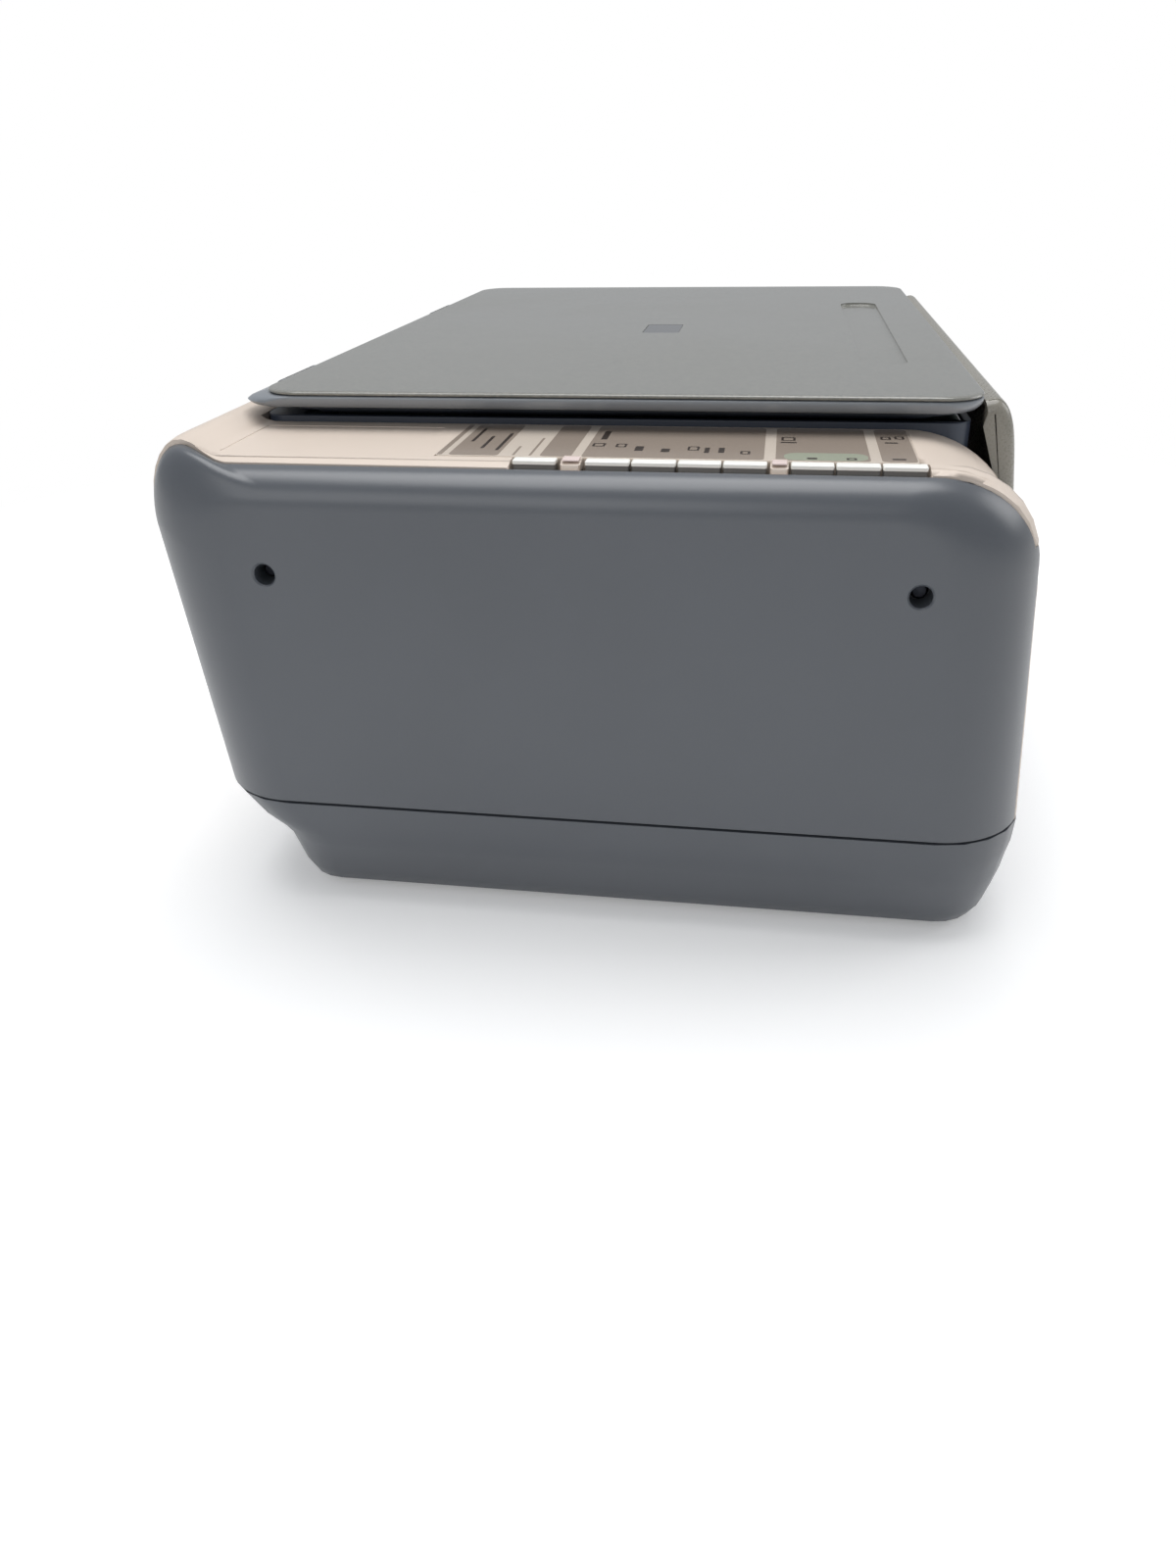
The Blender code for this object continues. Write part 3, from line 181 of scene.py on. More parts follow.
# Film beside the keys: its printed fields by name, with their low and high ends along Y
FILM_CORNER = 1.2
FILM_X = (-200.2, -155.7)
FILM_Y = (-95.7, 48.3)
FILM_Z = (157.6, 158.24)
FIELD_X = (-199.7, -156.2)
FIELD_TOP = 158.3
FIELD_CORNER = 1.6
INK_SINK = 0.02
INK_LINE = 0.7
FIELDS = (("strip", 46.4, 48.0), ("label", 28.9, 44.4), ("plain", 6.3, 16.0), ("large", -51.2, 3.2),
          ("lamps", -82.0, -54.6), ("last", -95.3, -85.2))

# Marks of the film without any wording: kind, middle x and y, size along x and y
MARKS = (
    ("bar", -172.0, 41.1, 19.0, 1.1), ("bar", -182.2, 35.9, 17.0, 1.1), ("bar", -181.0, 30.7, 24.0, 1.1),
    ("ring", -183.6, 0.0, 4.4, 4.0), ("ring", -184.0, -7.1, 4.6, 3.4), ("bar", -187.8, -13.1, 6.0, 2.6),
    ("bar", -189.7, -21.3, 4.6, 2.6), ("ring", -186.6, -29.7, 5.2, 3.6), ("bar", -188.7, -33.9, 7.0, 1.5),
    ("bar", -188.4, -38.3, 6.5, 1.8), ("ring", -191.0, -45.5, 4.0, 3.0), ("bar", -170.0, -0.4, 12.0, 2.0),
    ("ring", -171.5, -58.3, 5.0, 4.4), ("bar", -176.4, -58.4, 1.5, 5.0), ("ring", -168.6, -88.2, 4.0, 3.2),
    ("ring", -167.8, -92.4, 4.0, 3.0), ("bar", -175.0, -89.5, 1.5, 4.0), ("bar", -196.4, -90.2, 1.6, 4.0),
    ("bar", -197.0, -65.2, 2.0, 3.0), ("ring", -197.0, -76.6, 2.6, 3.0),
)
PALE_MARKS = ((-193.0, 24.2, 12.0, 0.8), (-187.0, 19.0, 24.0, 0.8))
LAMP_ZONE = ((-199.4, -190.0), (-81.4, -57.0))

# Keys and lamp windows: rear and front edge of each
KEY_X = (-205.7, -201.1)
KEY_Z = (152.8, 158.3)
KEY_GAP = 0.6
KEY_CAP_Z = 157.15
KEY_EDGES = ((23.4, 9.6), (1.4, -12.4), (-12.4, -26.1), (-26.1, -39.3), (-39.3, -52.6),
             (-58.8, -71.7), (-71.7, -84.8), (-84.8, -97.9))
LAMP_EDGES = ((8.4, 2.4), (-53.2, -58.4))
LAMP_TOP = 158.8
LAMP_DEPTH = 0.5
WELL_MARGIN = 0.3
LENS_MARGIN = 0.45

# Studio: glow of the floor, level of the surroundings, and lamps with place, aim, size and power
FLOOR_LIFT = 0.22
SKY_LEVEL = 0.42
LAMPS = (
    ("lamp_above", (0.2, 0.1, 1.6), (0, 0, 0.1), (1.6, 1.4), 24.0),
    ("lamp_left", (-1.6, 0.5, 0.9), (-0.2, 0, 0.1), (1.2, 0.9), 5.0),
    ("lamp_front", (0.6, -1.8, 1.0), (0, 0, 0.1), (1.2, 0.9), 8.0),
)


def linear(code):
    """Linear colour of an sRGB hex value."""
    parts = [int(code[k:k + 2], 16) / 255 for k in (0, 2, 4)]
    parts = [c / 12.92 if c <= 0.04045 else ((c + 0.055) / 1.055) ** 2.4 for c in parts]
    return (*parts, 1.0)


def add(tree, kind, inputs=None, **settings):
    """Add a node: settings are its options, inputs are socket values or (node, output) links."""
    item = tree.nodes.new("ShaderNode" + kind)
    for key, value in settings.items():
        setattr(item, key, value)
    for key, value in (inputs or {}).items():
        if isinstance(value, tuple) and isinstance(value[0], bpy.types.Node):
            tree.links.new(value[0].outputs[value[1]], item.inputs[key])
        else:
            item.inputs[key].default_value = value
    return item


def new_material(name, values):
    """Material with a Principled shader whose uniform values sit on its own sockets."""
    mat = bpy.data.materials.new(name)
    mat.use_nodes = True
    tree = mat.node_tree
    shader = tree.nodes["Principled BSDF"]
    for key, value in values.items():
        shader.inputs[key].default_value = value
    place = add(tree, "TexCoord")
    return mat, tree, shader, place


def moulded(name, code, roughness, grain=0.7, depth=0.012, drift=0.05, coat=0.0, shine=0.5):
    """Injection-moulded plastic: an even colour, spark-eroded grain and a slow change of tone and gloss."""
    mat, tree, shader, place = new_material(name, {"IOR": 1.53, "Coat Weight": coat, "Coat Roughness": 0.08,
                                                   "Specular IOR Level": shine})
    colour = linear(code)
    clouds = add(tree, "TexNoise", {"Vector": (place, "Object"), "Scale": 14.0, "Detail": 3.0})
    pits = add(tree, "TexNoise", {"Vector": (place, "Object"), "Scale": 1 / (grain * MM), "Detail": 2.0,
                                  "Roughness": 0.6})
    both = add(tree, "Math", {0: (pits, "Fac"), 1: 0.35, 2: (clouds, "Fac")}, operation="MULTIPLY_ADD")
    tone = add(tree, "MapRange", {"Value": (both, "Value"), "From Min": 0.45, "From Max": 0.9,
                                  "To Min": 1 - drift, "To Max": 1 + drift})
    tint = add(tree, "VectorMath", {0: colour[:3], "Scale": (tone, "Result")}, operation="SCALE")
    tree.links.new(tint.outputs["Vector"], shader.inputs["Base Color"])
    gloss = add(tree, "MapRange", {"Value": (pits, "Fac"), "From Min": 0.3, "From Max": 0.7,
                                   "To Min": roughness * 0.92, "To Max": min(roughness * 1.08, 1.0)})
    tree.links.new(gloss.outputs["Result"], shader.inputs["Roughness"])
    bump = add(tree, "Bump", {"Height": (pits, "Fac"), "Strength": 0.6, "Distance": depth * MM})
    tree.links.new(bump.outputs["Normal"], shader.inputs["Normal"])
    return mat


def sheet_steel(name, code, spangle, roughness):
    """Metal sheet or bar: crystals or grinding marks that vary in gloss and tone."""
    mat, tree, shader, place = new_material(name, {"Metallic": 1.0})
    cells = add(tree, "TexVoronoi", {"Vector": (place, "Object"), "Scale": 1 / (spangle * MM)})
    split = add(tree, "SeparateColor", {"Color": (cells, "Color")})
    gloss = add(tree, "MapRange", {"Value": (split, "Red"), "To Min": roughness * 0.8,
                                   "To Max": roughness * 1.25})
    tree.links.new(gloss.outputs["Result"], shader.inputs["Roughness"])
    tone = add(tree, "MapRange", {"Value": (split, "Green"), "To Min": 0.88, "To Max": 1.08})
    tint = add(tree, "VectorMath", {0: linear(code)[:3], "Scale": (tone, "Result")}, operation="SCALE")
    tree.links.new(tint.outputs["Vector"], shader.inputs["Base Color"])
    return mat


def glass_plate(name):
    """Float glass of the flatbed: clear, with the faint green of iron."""
    mat, tree, shader, place = new_material(name, {"Base Color": linear("DCEBE4"), "IOR": 1.52,
                                                   "Transmission Weight": 1.0, "Roughness": 0.02})
    film = add(tree, "TexNoise", {"Vector": (place, "Object"), "Scale": 30.0})
    haze = add(tree, "MapRange", {"Value": (film, "Fac"), "To Min": 0.01, "To Max": 0.05})
    tree.links.new(haze.outputs["Result"], shader.inputs["Roughness"])
    return mat


def lid_gloss(name):
    """High-gloss pearl grey ABS of the lid: a clear skin over fine mica, with a little dust."""
    mat, tree, shader, place = new_material(name, {"IOR": 1.5, "Coat Weight": 0.35, "Coat Roughness": 0.05})
    mica = add(tree, "TexNoise", {"Vector": (place, "Object"), "Scale": 1 / (1.1 * MM), "Detail": 2.0})
    flake = add(tree, "ValToRGB", {"Fac": (mica, "Fac")})
    flake.color_ramp.elements[0].position = 0.3
    flake.color_ramp.elements[0].color = linear("73736E")
    flake.color_ramp.elements[1].position = 0.72
    flake.color_ramp.elements[1].color = linear("84837C")
    specks = add(tree, "TexVoronoi", {"Vector": (place, "Object"), "Scale": 1 / (16 * MM)})
    dust = add(tree, "MapRange", {"Value": (specks, "Distance"), "From Min": 0.018, "From Max": 0.03,
                                  "To Min": 0.5, "To Max": 0.0})
    colour = add(tree, "Mix", {"Factor": (dust, "Result"), "A": (flake, "Color"), "B": linear("C9C8C2")},
                 data_type="RGBA")
    tree.links.new(colour.outputs[2], shader.inputs["Base Color"])
    smears = add(tree, "TexNoise", {"Vector": (place, "Object"), "Scale": 9.0, "Detail": 4.0})
    gloss = add(tree, "MapRange", {"Value": (smears, "Fac"), "From Min": 0.35, "From Max": 0.65,
                                   "To Min": 0.16, "To Max": 0.24})
    tree.links.new(gloss.outputs["Result"], shader.inputs["Roughness"])
    return mat


MATERIALS = {
    # Textured satin ABS of the end panels and the tub: even, with a broad soft sheen
    "abs_blue_grey": moulded("abs_blue_grey_satin", "4F5359", 0.34, shine=0.65),
    # Smooth warm white ABS of the deck, almost matt
    "abs_white": moulded("abs_warm_white", "D6C8BB", 0.4, grain=0.9, depth=0.006, drift=0.02),
    # Dark blue-grey ABS of the scanner bed and the lid's frame
    "abs_navy": moulded("abs_navy", "3A4250", 0.4, depth=0.01),
    # Bluish grey band of the lid's edge, with a soft shine
    "abs_band_grey": moulded("abs_band_grey", "7C8187", 0.3, depth=0.006, coat=0.3),
    # Semi-gloss warm grey ABS of the cover
    "abs_cover_grey": moulded("abs_cover_grey", "88847A", 0.28, depth=0.006, coat=0.15),
    # Black polystyrene of the inner mouldings, dull
    "ps_black": moulded("polystyrene_black", "1E1F21", 0.45),
    # Printed film over the keys' labels, glossy brown-grey
    "film_brown": moulded("printed_film_brown", "A3968A", 0.2, grain=1.2, depth=0.002, drift=0.03, coat=0.4),
    # Off-white ink of the same film
    "film_white": moulded("printed_film_white", "D8CCBF", 0.25, grain=1.2, depth=0.002, drift=0.01, coat=0.3),
    # Dark ink of the film's marks
    "film_ink": moulded("printed_film_ink", "3E3733", 0.3, grain=1.2, depth=0.002),
    # Pale green window of the film, in front of the lamps
    "film_green": moulded("printed_film_green", "A9AF9C", 0.22, grain=1.2, depth=0.002, coat=0.4),
    # Key tops in gloss white
    "key_white": moulded("abs_key_white", "F8F7F2", 0.3, grain=1.0, depth=0.003, drift=0.01),
    # Dark grey of the colour cartridge, and of the key skirts, where it is painted shade for the shaded gap
    # under the key caps
    "key_dark": moulded("abs_dark_grey_and_painted_skirt_shade", "6A6A69", 0.4),
    # Pinkish translucent lamp windows
    "lamp_white": moulded("polycarbonate_lamp_window", "F0DDD8", 0.25, depth=0.003, coat=0.3),
    # Black gloss inlay without any sign
    "badge_black": moulded("acrylic_black", "3A3B3E", 0.12, depth=0.001, coat=0.5),
    # Zinc-plated sheet, with spangle
    "steel_sheet": sheet_steel("zinc_plated_steel", "B9BCC0", 5.0, 0.34),
    # Near-black screws with a dull shine: the near-black is painted shade for the deep screw holes
    "steel_painted_hole_shade": sheet_steel("screw_steel_painted_hole_shade", "33353B", 1.5, 0.45),
    # Ground and polished rod
    "steel_rod": sheet_steel("ground_steel", "CFD0D2", 0.6, 0.18),
    # Natural nylon gears and sled
    "nylon": moulded("nylon_natural", "D9D5C6", 0.4, grain=1.0),
    # Soft black rubber of feet, belt and rollers
    "rubber": moulded("rubber_black", "1C1C1D", 0.75, grain=0.9, depth=0.03),
    # Solder mask over copper
    "board_green": moulded("solder_mask_green", "1F5A38", 0.3, grain=2.0, depth=0.01, drift=0.15),
    # White foam-backed sheet that presses the page
    "pad_white": moulded("foam_sheet_white", "E4E2DD", 0.6, grain=1.6, depth=0.03, drift=0.01),
    # Clear platen glass
    "glass": glass_plate("float_glass"),
    # Pearl grey gloss of the lid
    "lid_grey": lid_gloss("abs_pearl_grey_gloss"),
}

# Nodes whose shape is kept, with the finish that each wears
CARRIED = {
    "ps_black": ("platen",),
    # The screws' near-black is painted shade for the deep holes
    "steel_painted_hole_shade": ("screw_left_front", "screw_left_rear", "screw_right_front", "screw_right_rear"),
    "steel_sheet": ("rear_rail", "carriage_motor", "feed_motor"),
    "steel_rod": ("guide_rod", "scan_rod"),
    "nylon": ("drive_pinion", "idler_gear", "carriage_pulley", "idler_pulley"),
    "rubber": ("carriage_belt", "feed_roller", "transport_roller", "exit_roller"),
    "board_green": ("control_board", "mainboard"),
    "glass": ("scanner_glass",),
}

# Nodes whose edges get their moulded or pressed radius: finish, radius and least fold of a rounded edge
ROUNDED = {
    "lower_case": ("abs_blue_grey", 0.4, 50), "scanner_bed": ("abs_navy", 0.5, 50),
    "lid_frame": ("abs_navy", 0.35, 50), "paper_tray": ("abs_blue_grey", 0.5, 50),
    "tray_extender": ("abs_blue_grey", 0.4, 50), "paper_guide": ("abs_blue_grey", 0.3, 50),
    "paper_bed": ("ps_black", 0.4, 50), "hinge_left": ("ps_black", 0.3, 50),
    "hinge_right": ("ps_black", 0.3, 50), "scan_carriage": ("ps_black", 0.4, 50),
    "print_carriage": ("ps_black", 0.5, 50), "cartridge_black": ("ps_black", 0.5, 50),
    "cartridge_color": ("key_dark", 0.5, 50), "rear_door": ("ps_black", 0.4, 50),
    "power_inlet": ("ps_black", 0.3, 50), "usb_socket": ("steel_sheet", 0.2, 50),
    "side_frame_left": ("steel_sheet", 0.2, 50), "side_frame_right": ("steel_sheet", 0.2, 50),
    "service_sled": ("nylon", 0.3, 50), "lid_pad": ("pad_white", 0.3, 30),
    "foot_front_left": ("rubber", 0.3, 50), "foot_front_right": ("rubber", 0.3, 50),
    "foot_rear_left": ("rubber", 0.3, 50), "foot_rear_right": ("rubber", 0.3, 50),
}


def only(obj):
    """Select one object and nothing else."""
    if bpy.context.object and bpy.context.object.mode != "OBJECT":
        bpy.ops.object.mode_set(mode="OBJECT")
    bpy.ops.object.select_all(action="DESELECT")
    obj.select_set(True)
    bpy.context.view_layer.objects.active = obj
    return obj


def pick(kind, test, fold=None):
    """In edit mode, select the verts, edges or faces that pass a test of their middle, in mm, and normal."""
    bpy.ops.mesh.select_mode(type={"verts": "VERT", "edges": "EDGE", "faces": "FACE"}[kind])
    bpy.ops.mesh.select_all(action="DESELECT")
    mesh = bpy.context.object.data
    shape = bmesh.from_edit_mesh(mesh)
    count = 0
    for part in getattr(shape, kind):
        if fold is not None and part.calc_face_angle(0) < math.radians(fold):
            continue
        corners = [part] if kind == "verts" else part.verts
        middle = sum((v.co for v in corners), Vector()) / len(corners) / MM
        normal = part.normal if kind != "edges" else sum((v.normal for v in corners), Vector())
        if test(middle, normal):
            part.select_set(True)
            count += 1
    bmesh.update_edit_mesh(mesh)
    return count


def arc_corners(corners, steps):
    """Closed outline through (u, v, radius) corners, each turned with its own arc."""
    points = []
    for i, (u, v, radius) in enumerate(corners):
        here = Vector((u, v))
        if radius <= 0:
            points.append((u, v))
            continue
        back = (Vector(corners[i - 1][:2]) - here).normalized()
        ahead = (Vector(corners[(i + 1) % len(corners)][:2]) - here).normalized()
        half = back.angle(ahead) / 2
        centre = here + (back + ahead).normalized() * radius / math.sin(half)
        start = here + back * radius / math.tan(half) - centre
        stop = here + ahead * radius / math.tan(half) - centre
        sweep = math.atan2(start.x * stop.y - start.y * stop.x, start.dot(stop))
        for k in range(steps + 1):
            points.append(tuple(centre + Matrix.Rotation(sweep * k / steps, 2) @ start))
    return points


def skin(name, rings, closed=True):
    """Skin through rings of equal count: the first is a placed circle, and each other is extruded from it."""
    bpy.ops.object.select_all(action="DESELECT")
    bpy.ops.mesh.primitive_circle_add(vertices=len(rings[0]), radius=1.0, fill_type="NOTHING")
    obj = bpy.context.object
    obj.name = name
    for vert, point in zip(obj.data.vertices, rings[0]):
        vert.co = Vector(point) * MM
    bpy.ops.object.mode_set(mode="EDIT")
    bpy.ops.mesh.select_mode(type="EDGE")
    bpy.ops.mesh.select_all(action="SELECT")
    order = {tuple(v.co): k for k, v in enumerate(bmesh.from_edit_mesh(obj.data).verts)}
    for ring in rings[1:]:
        bpy.ops.mesh.extrude_region()
        shape = bmesh.from_edit_mesh(obj.data)
        fresh = [(order[tuple(v.co)], v) for v in shape.verts if v.select]
        for k, vert in fresh:
            vert.co = Vector(ring[k]) * MM
        order = {tuple(vert.co): k for k, vert in fresh}
        bmesh.update_edit_mesh(obj.data)
    bpy.ops.mesh.select_all(action="SELECT")
    if closed:
        bpy.ops.mesh.fill_holes(sides=0)
        bpy.ops.mesh.select_all(action="SELECT")
        bpy.ops.mesh.normals_make_consistent(inside=False)
    bpy.ops.object.mode_set(mode="OBJECT")
    return obj


def prism(name, corners, along, span):
    """Flat outline pushed over a span of one axis."""
    place = {"X": lambda u, v, w: (w, u, v), "Y": lambda u, v, w: (u, w, v), "Z": lambda u, v, w: (u, v, w)}
    return skin(name, [[place[along](u, v, w) for u, v in corners] for w in span])


def apply_all(obj):
    """Apply an object's modifiers in order."""
    only(obj)
    for mod in list(obj.modifiers):
        bpy.ops.object.modifier_apply(modifier=mod.name)
    return obj


def carve(obj, tool, operation="DIFFERENCE"):
    """Cut or join with a tool, which is used up."""
    mod = obj.modifiers.new("carve", "BOOLEAN")
    mod.operation = operation
    mod.solver = "EXACT"
    mod.object = tool
    apply_all(obj)
    bpy.data.objects.remove(tool)
    return obj


def bar(name, radius, along, centre, span, sides=32, narrow=None):
    """Round tool or pin along X, Y or Z over a span; narrow is the radius at the far end of the span."""
    bpy.ops.object.select_all(action="DESELECT")
    depth = (span[1] - span[0]) * MM
    bpy.ops.mesh.primitive_cone_add(vertices=sides, radius1=radius * MM, depth=depth,
                                    radius2=(radius if narrow is None else narrow) * MM)
    obj = bpy.context.object
    obj.name = name
    turn = {"X": Matrix.Rotation(math.pi / 2, 4, "Y"), "Y": Matrix.Rotation(-math.pi / 2, 4, "X"),
            "Z": Matrix.Identity(4)}[along]
    spot = list(centre)
    spot.insert("XYZ".index(along), (span[0] + span[1]) / 2)
    obj.data.transform(Matrix.Translation(Vector(spot) * MM) @ turn)
    return obj


def block(name, xs, ys, zs):
    """Box between low and high limits."""
    bpy.ops.object.select_all(action="DESELECT")
    bpy.ops.mesh.primitive_cube_add(size=1.0)
    obj = bpy.context.object
    obj.name = name
    size = Matrix.Diagonal(((xs[1] - xs[0]) * MM, (ys[1] - ys[0]) * MM, (zs[1] - zs[0]) * MM, 1.0))
    middle = Vector(((xs[0] + xs[1]) / 2, (ys[0] + ys[1]) / 2, (zs[0] + zs[1]) / 2)) * MM
    obj.data.transform(Matrix.Translation(middle) @ size)
    return obj


def soften(obj, width, segments=3, angle=35, clamp=True):
    """Give every crisp edge its small moulded radius."""
    mod = obj.modifiers.new("moulded radius", "BEVEL")
    mod.width = width * MM
    mod.segments = segments
    mod.limit_method = "ANGLE"
    mod.angle_limit = math.radians(angle)
    mod.use_clamp_overlap = clamp
    return apply_all(obj)


def plate(name, xs, ys, zs, corner, edge=0.0, steps=5):
    """Plate with round corners in plan, and a rounded upper edge if one is given."""
    corner = min(corner, (xs[1] - xs[0]) / 2 - 0.01, (ys[1] - ys[0]) / 2 - 0.01)
    spots = [(xs[0], ys[0], corner), (xs[1], ys[0], corner), (xs[1], ys[1], corner), (xs[0], ys[1], corner)]
    obj = prism(name, arc_corners(spots, steps), "Z", zs)
    if edge:
        only(obj)
        bpy.ops.object.mode_set(mode="EDIT")
        pick("edges", lambda m, n: m.z > zs[1] - 0.001)
        bpy.ops.mesh.bevel(offset=edge * MM, segments=3, affect="EDGES", clamp_overlap=False)
        bpy.ops.object.mode_set(mode="OBJECT")
    return obj


def dress(obj, finish, body, slot, *nodes):
    """Shade a finished piece, give it its material and body, and hide the nodes it stands for."""
    only(obj)
    bpy.ops.object.shade_smooth_by_angle(angle=math.radians(32))
    mod = obj.modifiers.new("even shading", "WEIGHTED_NORMAL")
    mod.keep_sharp = True
    apply_all(obj)
    if not obj.data.materials:
        obj.data.materials.append(MATERIALS[finish])
    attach(obj, body)
    if nodes:
        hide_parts(*nodes)
    return obj


def body_holding(node):
    """Body that carries a node."""
    bodies = frame["record"]["behaviour"]["bodies"]
    return next(name for name, members in bodies.items() if node in members)


def slot_of(node):
    """The record's slot of a node."""
    return next(row["material_slot"] for row in frame["record"]["subparts"] if row["node"] == node)


def stand_in(obj, finish, node):
    """Dress a piece that stands for one node."""
    return dress(obj, finish, body_holding(node), slot_of(node), node)


def merged_copy(node, name):
    """A node's shape as clean faces, ready to be finished."""
    source = frame["nodes"][node]
    obj = bpy.data.objects.new(name, source.data.copy())
    bpy.context.scene.collection.objects.link(obj)
    obj.data.materials.clear()
    only(obj)
    bpy.ops.object.mode_set(mode="EDIT")
    bpy.ops.mesh.select_all(action="SELECT")
    bpy.ops.mesh.remove_doubles(threshold=0.002 * MM)
    bpy.ops.mesh.dissolve_limited(angle_limit=math.radians(0.5))
    bpy.ops.object.mode_set(mode="OBJECT")
    return obj


def front_y(z):
    """Front of the body at a height, which leans back as it rises."""
    return FRONT_FOOT_Y + FRONT_LEAN * (z - SPLIT_Z)


def rear_y(z):
    """Rear of the body at a height, which leans out as it rises."""
    return REAR_FOOT_Y + REAR_LEAN * (z - SPLIT_Z)


def side_view(top, bottom, draw, drop, front_radius):
    """Side view of the body as (y, z) points, its walls drawn in and its top lowered by so much."""
    fade = min(max((draw - FADE_START) / FADE_LENGTH, 0.0), 1.0)
    depth = REAR_ROUND[0] + FADE_ROUND * fade - drop * 0.4
    height = REAR_ROUND[1] - drop * 0.7
    level = top - drop
    crest = level + BORDER_RISE * (1.0 - fade)
    rear = rear_y(crest - height) - draw
    corners = [(front_y(bottom) + draw, bottom, 0), (rear_y(bottom) - draw, bottom, 0)]
    for k in range(ROUND_STEPS + 1):
        turn = math.pi / 2 * k / ROUND_STEPS
        corners.append((rear - depth * (1 - math.cos(turn)), crest - height * (1 - math.sin(turn)), 0))
    for k in range(1, BORDER_STEPS + 1):
        way = k / BORDER_STEPS
        fall = (crest - level) * way * way * (3 - 2 * way)
        corners.append((rear - depth - BORDER_SLOPE * way, crest - fall, 0))
    corners.append((front_y(level) + draw, level, front_radius - drop))
    return arc_corners(corners, ROUND_STEPS)


def body_ring(x, top, bottom, drop, front_radius=FRONT_RADIUS):
    """Side view of the body at a distance from the middle, round its plan corners and leaning as they do."""
    turn = math.asin(min(max((abs(x) - TURN_X) / PLAN_RADIUS, 0.0), 1.0))
    draw = PLAN_RADIUS * (1 - math.cos(turn))
    sign = math.copysign(1, x)
    return [(sign * (abs(x) - END_LEAN * (END_PIVOT_Z - z)), y, z)
            for y, z in side_view(top, bottom, draw, drop, front_radius)]


def seam_x(y):
    """Distance of the panel's seam from the middle: it runs inwards as the panel wraps round its corners."""
    for (start, near), (stop, far) in zip(WRAP, WRAP[1:]):
        if y <= stop:
            return near + (far - near) * (y - start) / (stop - start)


def seam_tool(sign, far, shift, low):
    """Tool bounded by the seam, moved by a shift, and by a plane at a distance from the middle."""
    outline = [(sign * (x + shift), y) for y, x in WRAP]
    outline += [(sign * far, WRAP[-1][0]), (sign * far, WRAP[0][0])]
    return prism("seam_tool", outline, "Z", (low, TOOL_HIGH))


def make_panel(side):
    """Satin end cap: a rounded skin with a wide rolled rim, screw bosses and chamfered holes."""
    sign = -1 if side == "left" else 1
    low = SPLIT_Z + GAP
    rings = []
    for angle in PANEL_ANGLES:
        x = TURN_X + PLAN_RADIUS * math.sin(math.radians(angle))
        over = max(x - BODY_HALF + PANEL_EDGE_RADIUS, 0.0)
        drop = PANEL_EDGE_RADIUS - math.sqrt(max(PANEL_EDGE_RADIUS ** 2 - over ** 2, 0.0))
        rings.append(body_ring(sign * x, PANEL_TOP_Z, low, drop))
    panel = skin(side + "_end_cap", rings)
    only(panel)
    bpy.ops.object.mode_set(mode="EDIT")
    pick("faces", lambda m, n: n.z < -0.9 and m.z < low + 0.05 or sign * n.x < -0.9)
    bpy.ops.mesh.delete(type="FACE")
    bpy.ops.object.mode_set(mode="OBJECT")
    wall = panel.modifiers.new("wall", "SOLIDIFY")
    wall.thickness = WALL * MM
    wall.offset = -1.0
    wall.use_even_offset = True
    apply_all(panel)
    carve(panel, seam_tool(sign, PANEL_TOOL_X, 0.0, TOOL_LOW))
    outer = sign * (BODY_HALF - SCREW_MOUTH[0])
    proud = sign * (BODY_HALF + SCREW_MOUTH[1])
    mouth = (SCREW_HOLE_RADIUS, SCREW_HOLE_RADIUS + SCREW_MOUTH_FLARE)
    for y in SCREW_YS:
        spot = (y, SCREW_Z)
        boss = sorted((sign * (BODY_HALF - SCREW_BOSS_TOP), sign * (PANEL_INNER_X + 0.2)))
        hole = sorted((sign * (BODY_HALF + 5), sign * (PANEL_INNER_X + SCREW_SEAT)))
        pilot = sorted((sign * (BODY_HALF + 5), sign * (PANEL_INNER_X - 5)))
        near, far = mouth if sign > 0 else mouth[::-1]
        carve(panel, bar("boss", SCREW_BOSS_RADIUS, "X", spot, boss, 48), "UNION")
        carve(panel, bar("hole", SCREW_HOLE_RADIUS, "X", spot, hole, 48))
        carve(panel, bar("mouth", near, "X", spot, sorted((outer, proud)), 48, far))
        carve(panel, bar("pilot", SCREW_PILOT_RADIUS, "X", spot, pilot))
    only(panel)
    bpy.ops.object.mode_set(mode="EDIT")
    pick("edges", lambda m, n: abs(abs(m.x) - seam_x(m.y)) < 0.02 or abs(m.z - low) < 0.02, 40)
    bpy.ops.mesh.bevel(offset=SEAM_RADIUS * MM, segments=2, affect="EDGES", clamp_overlap=False)
    bpy.ops.object.mode_set(mode="OBJECT")
    return stand_in(panel, "abs_blue_grey", side + "_end_panel")


def round_block(case, sign):
    """Give the block between the rim and the front cover its rounder front edge."""
    reach = BLOCK_RADIUS
    middle = (front_y(DECK_Z - reach) + reach, DECK_Z - reach)
    parts = [(0.2, BLOCK_INNER_X + 6, BLOCK_OUTER_X - 0.4, reach, range(3, 88, 7))]
    parts += [(*ledge, reach + BLOCK_LEDGE_THICK, range(25, 66, 5)) for ledge in BLOCK_LEDGE]
    for shift, near, far, radius, turns in parts:
        arc = [math.radians(a) for a in turns]
        outline = [(middle[0] + shift - r * math.sin(a), middle[1] - 0.1 + r * math.cos(a))
                   for r, way in ((radius, arc), (reach - BLOCK_FILL, arc[::-1])) for a in way]
        carve(case, prism("fill", outline, "X", sorted((sign * near, sign * far))), "UNION")
    kept = skin("kept", [body_ring(sign * x, DECK_Z, TOOL_LOW, 0.0, BLOCK_RADIUS) for x in BLOCK_STOPS])
    span = sorted((sign * BLOCK_OUTER_X, sign * BLOCK_INNER_X))
    tool = block("trim", span, BLOCK_TOOL_Y, (TOOL_FOOT, TOOL_HIGH))
    carve(tool, kept)
    carve(case, tool)


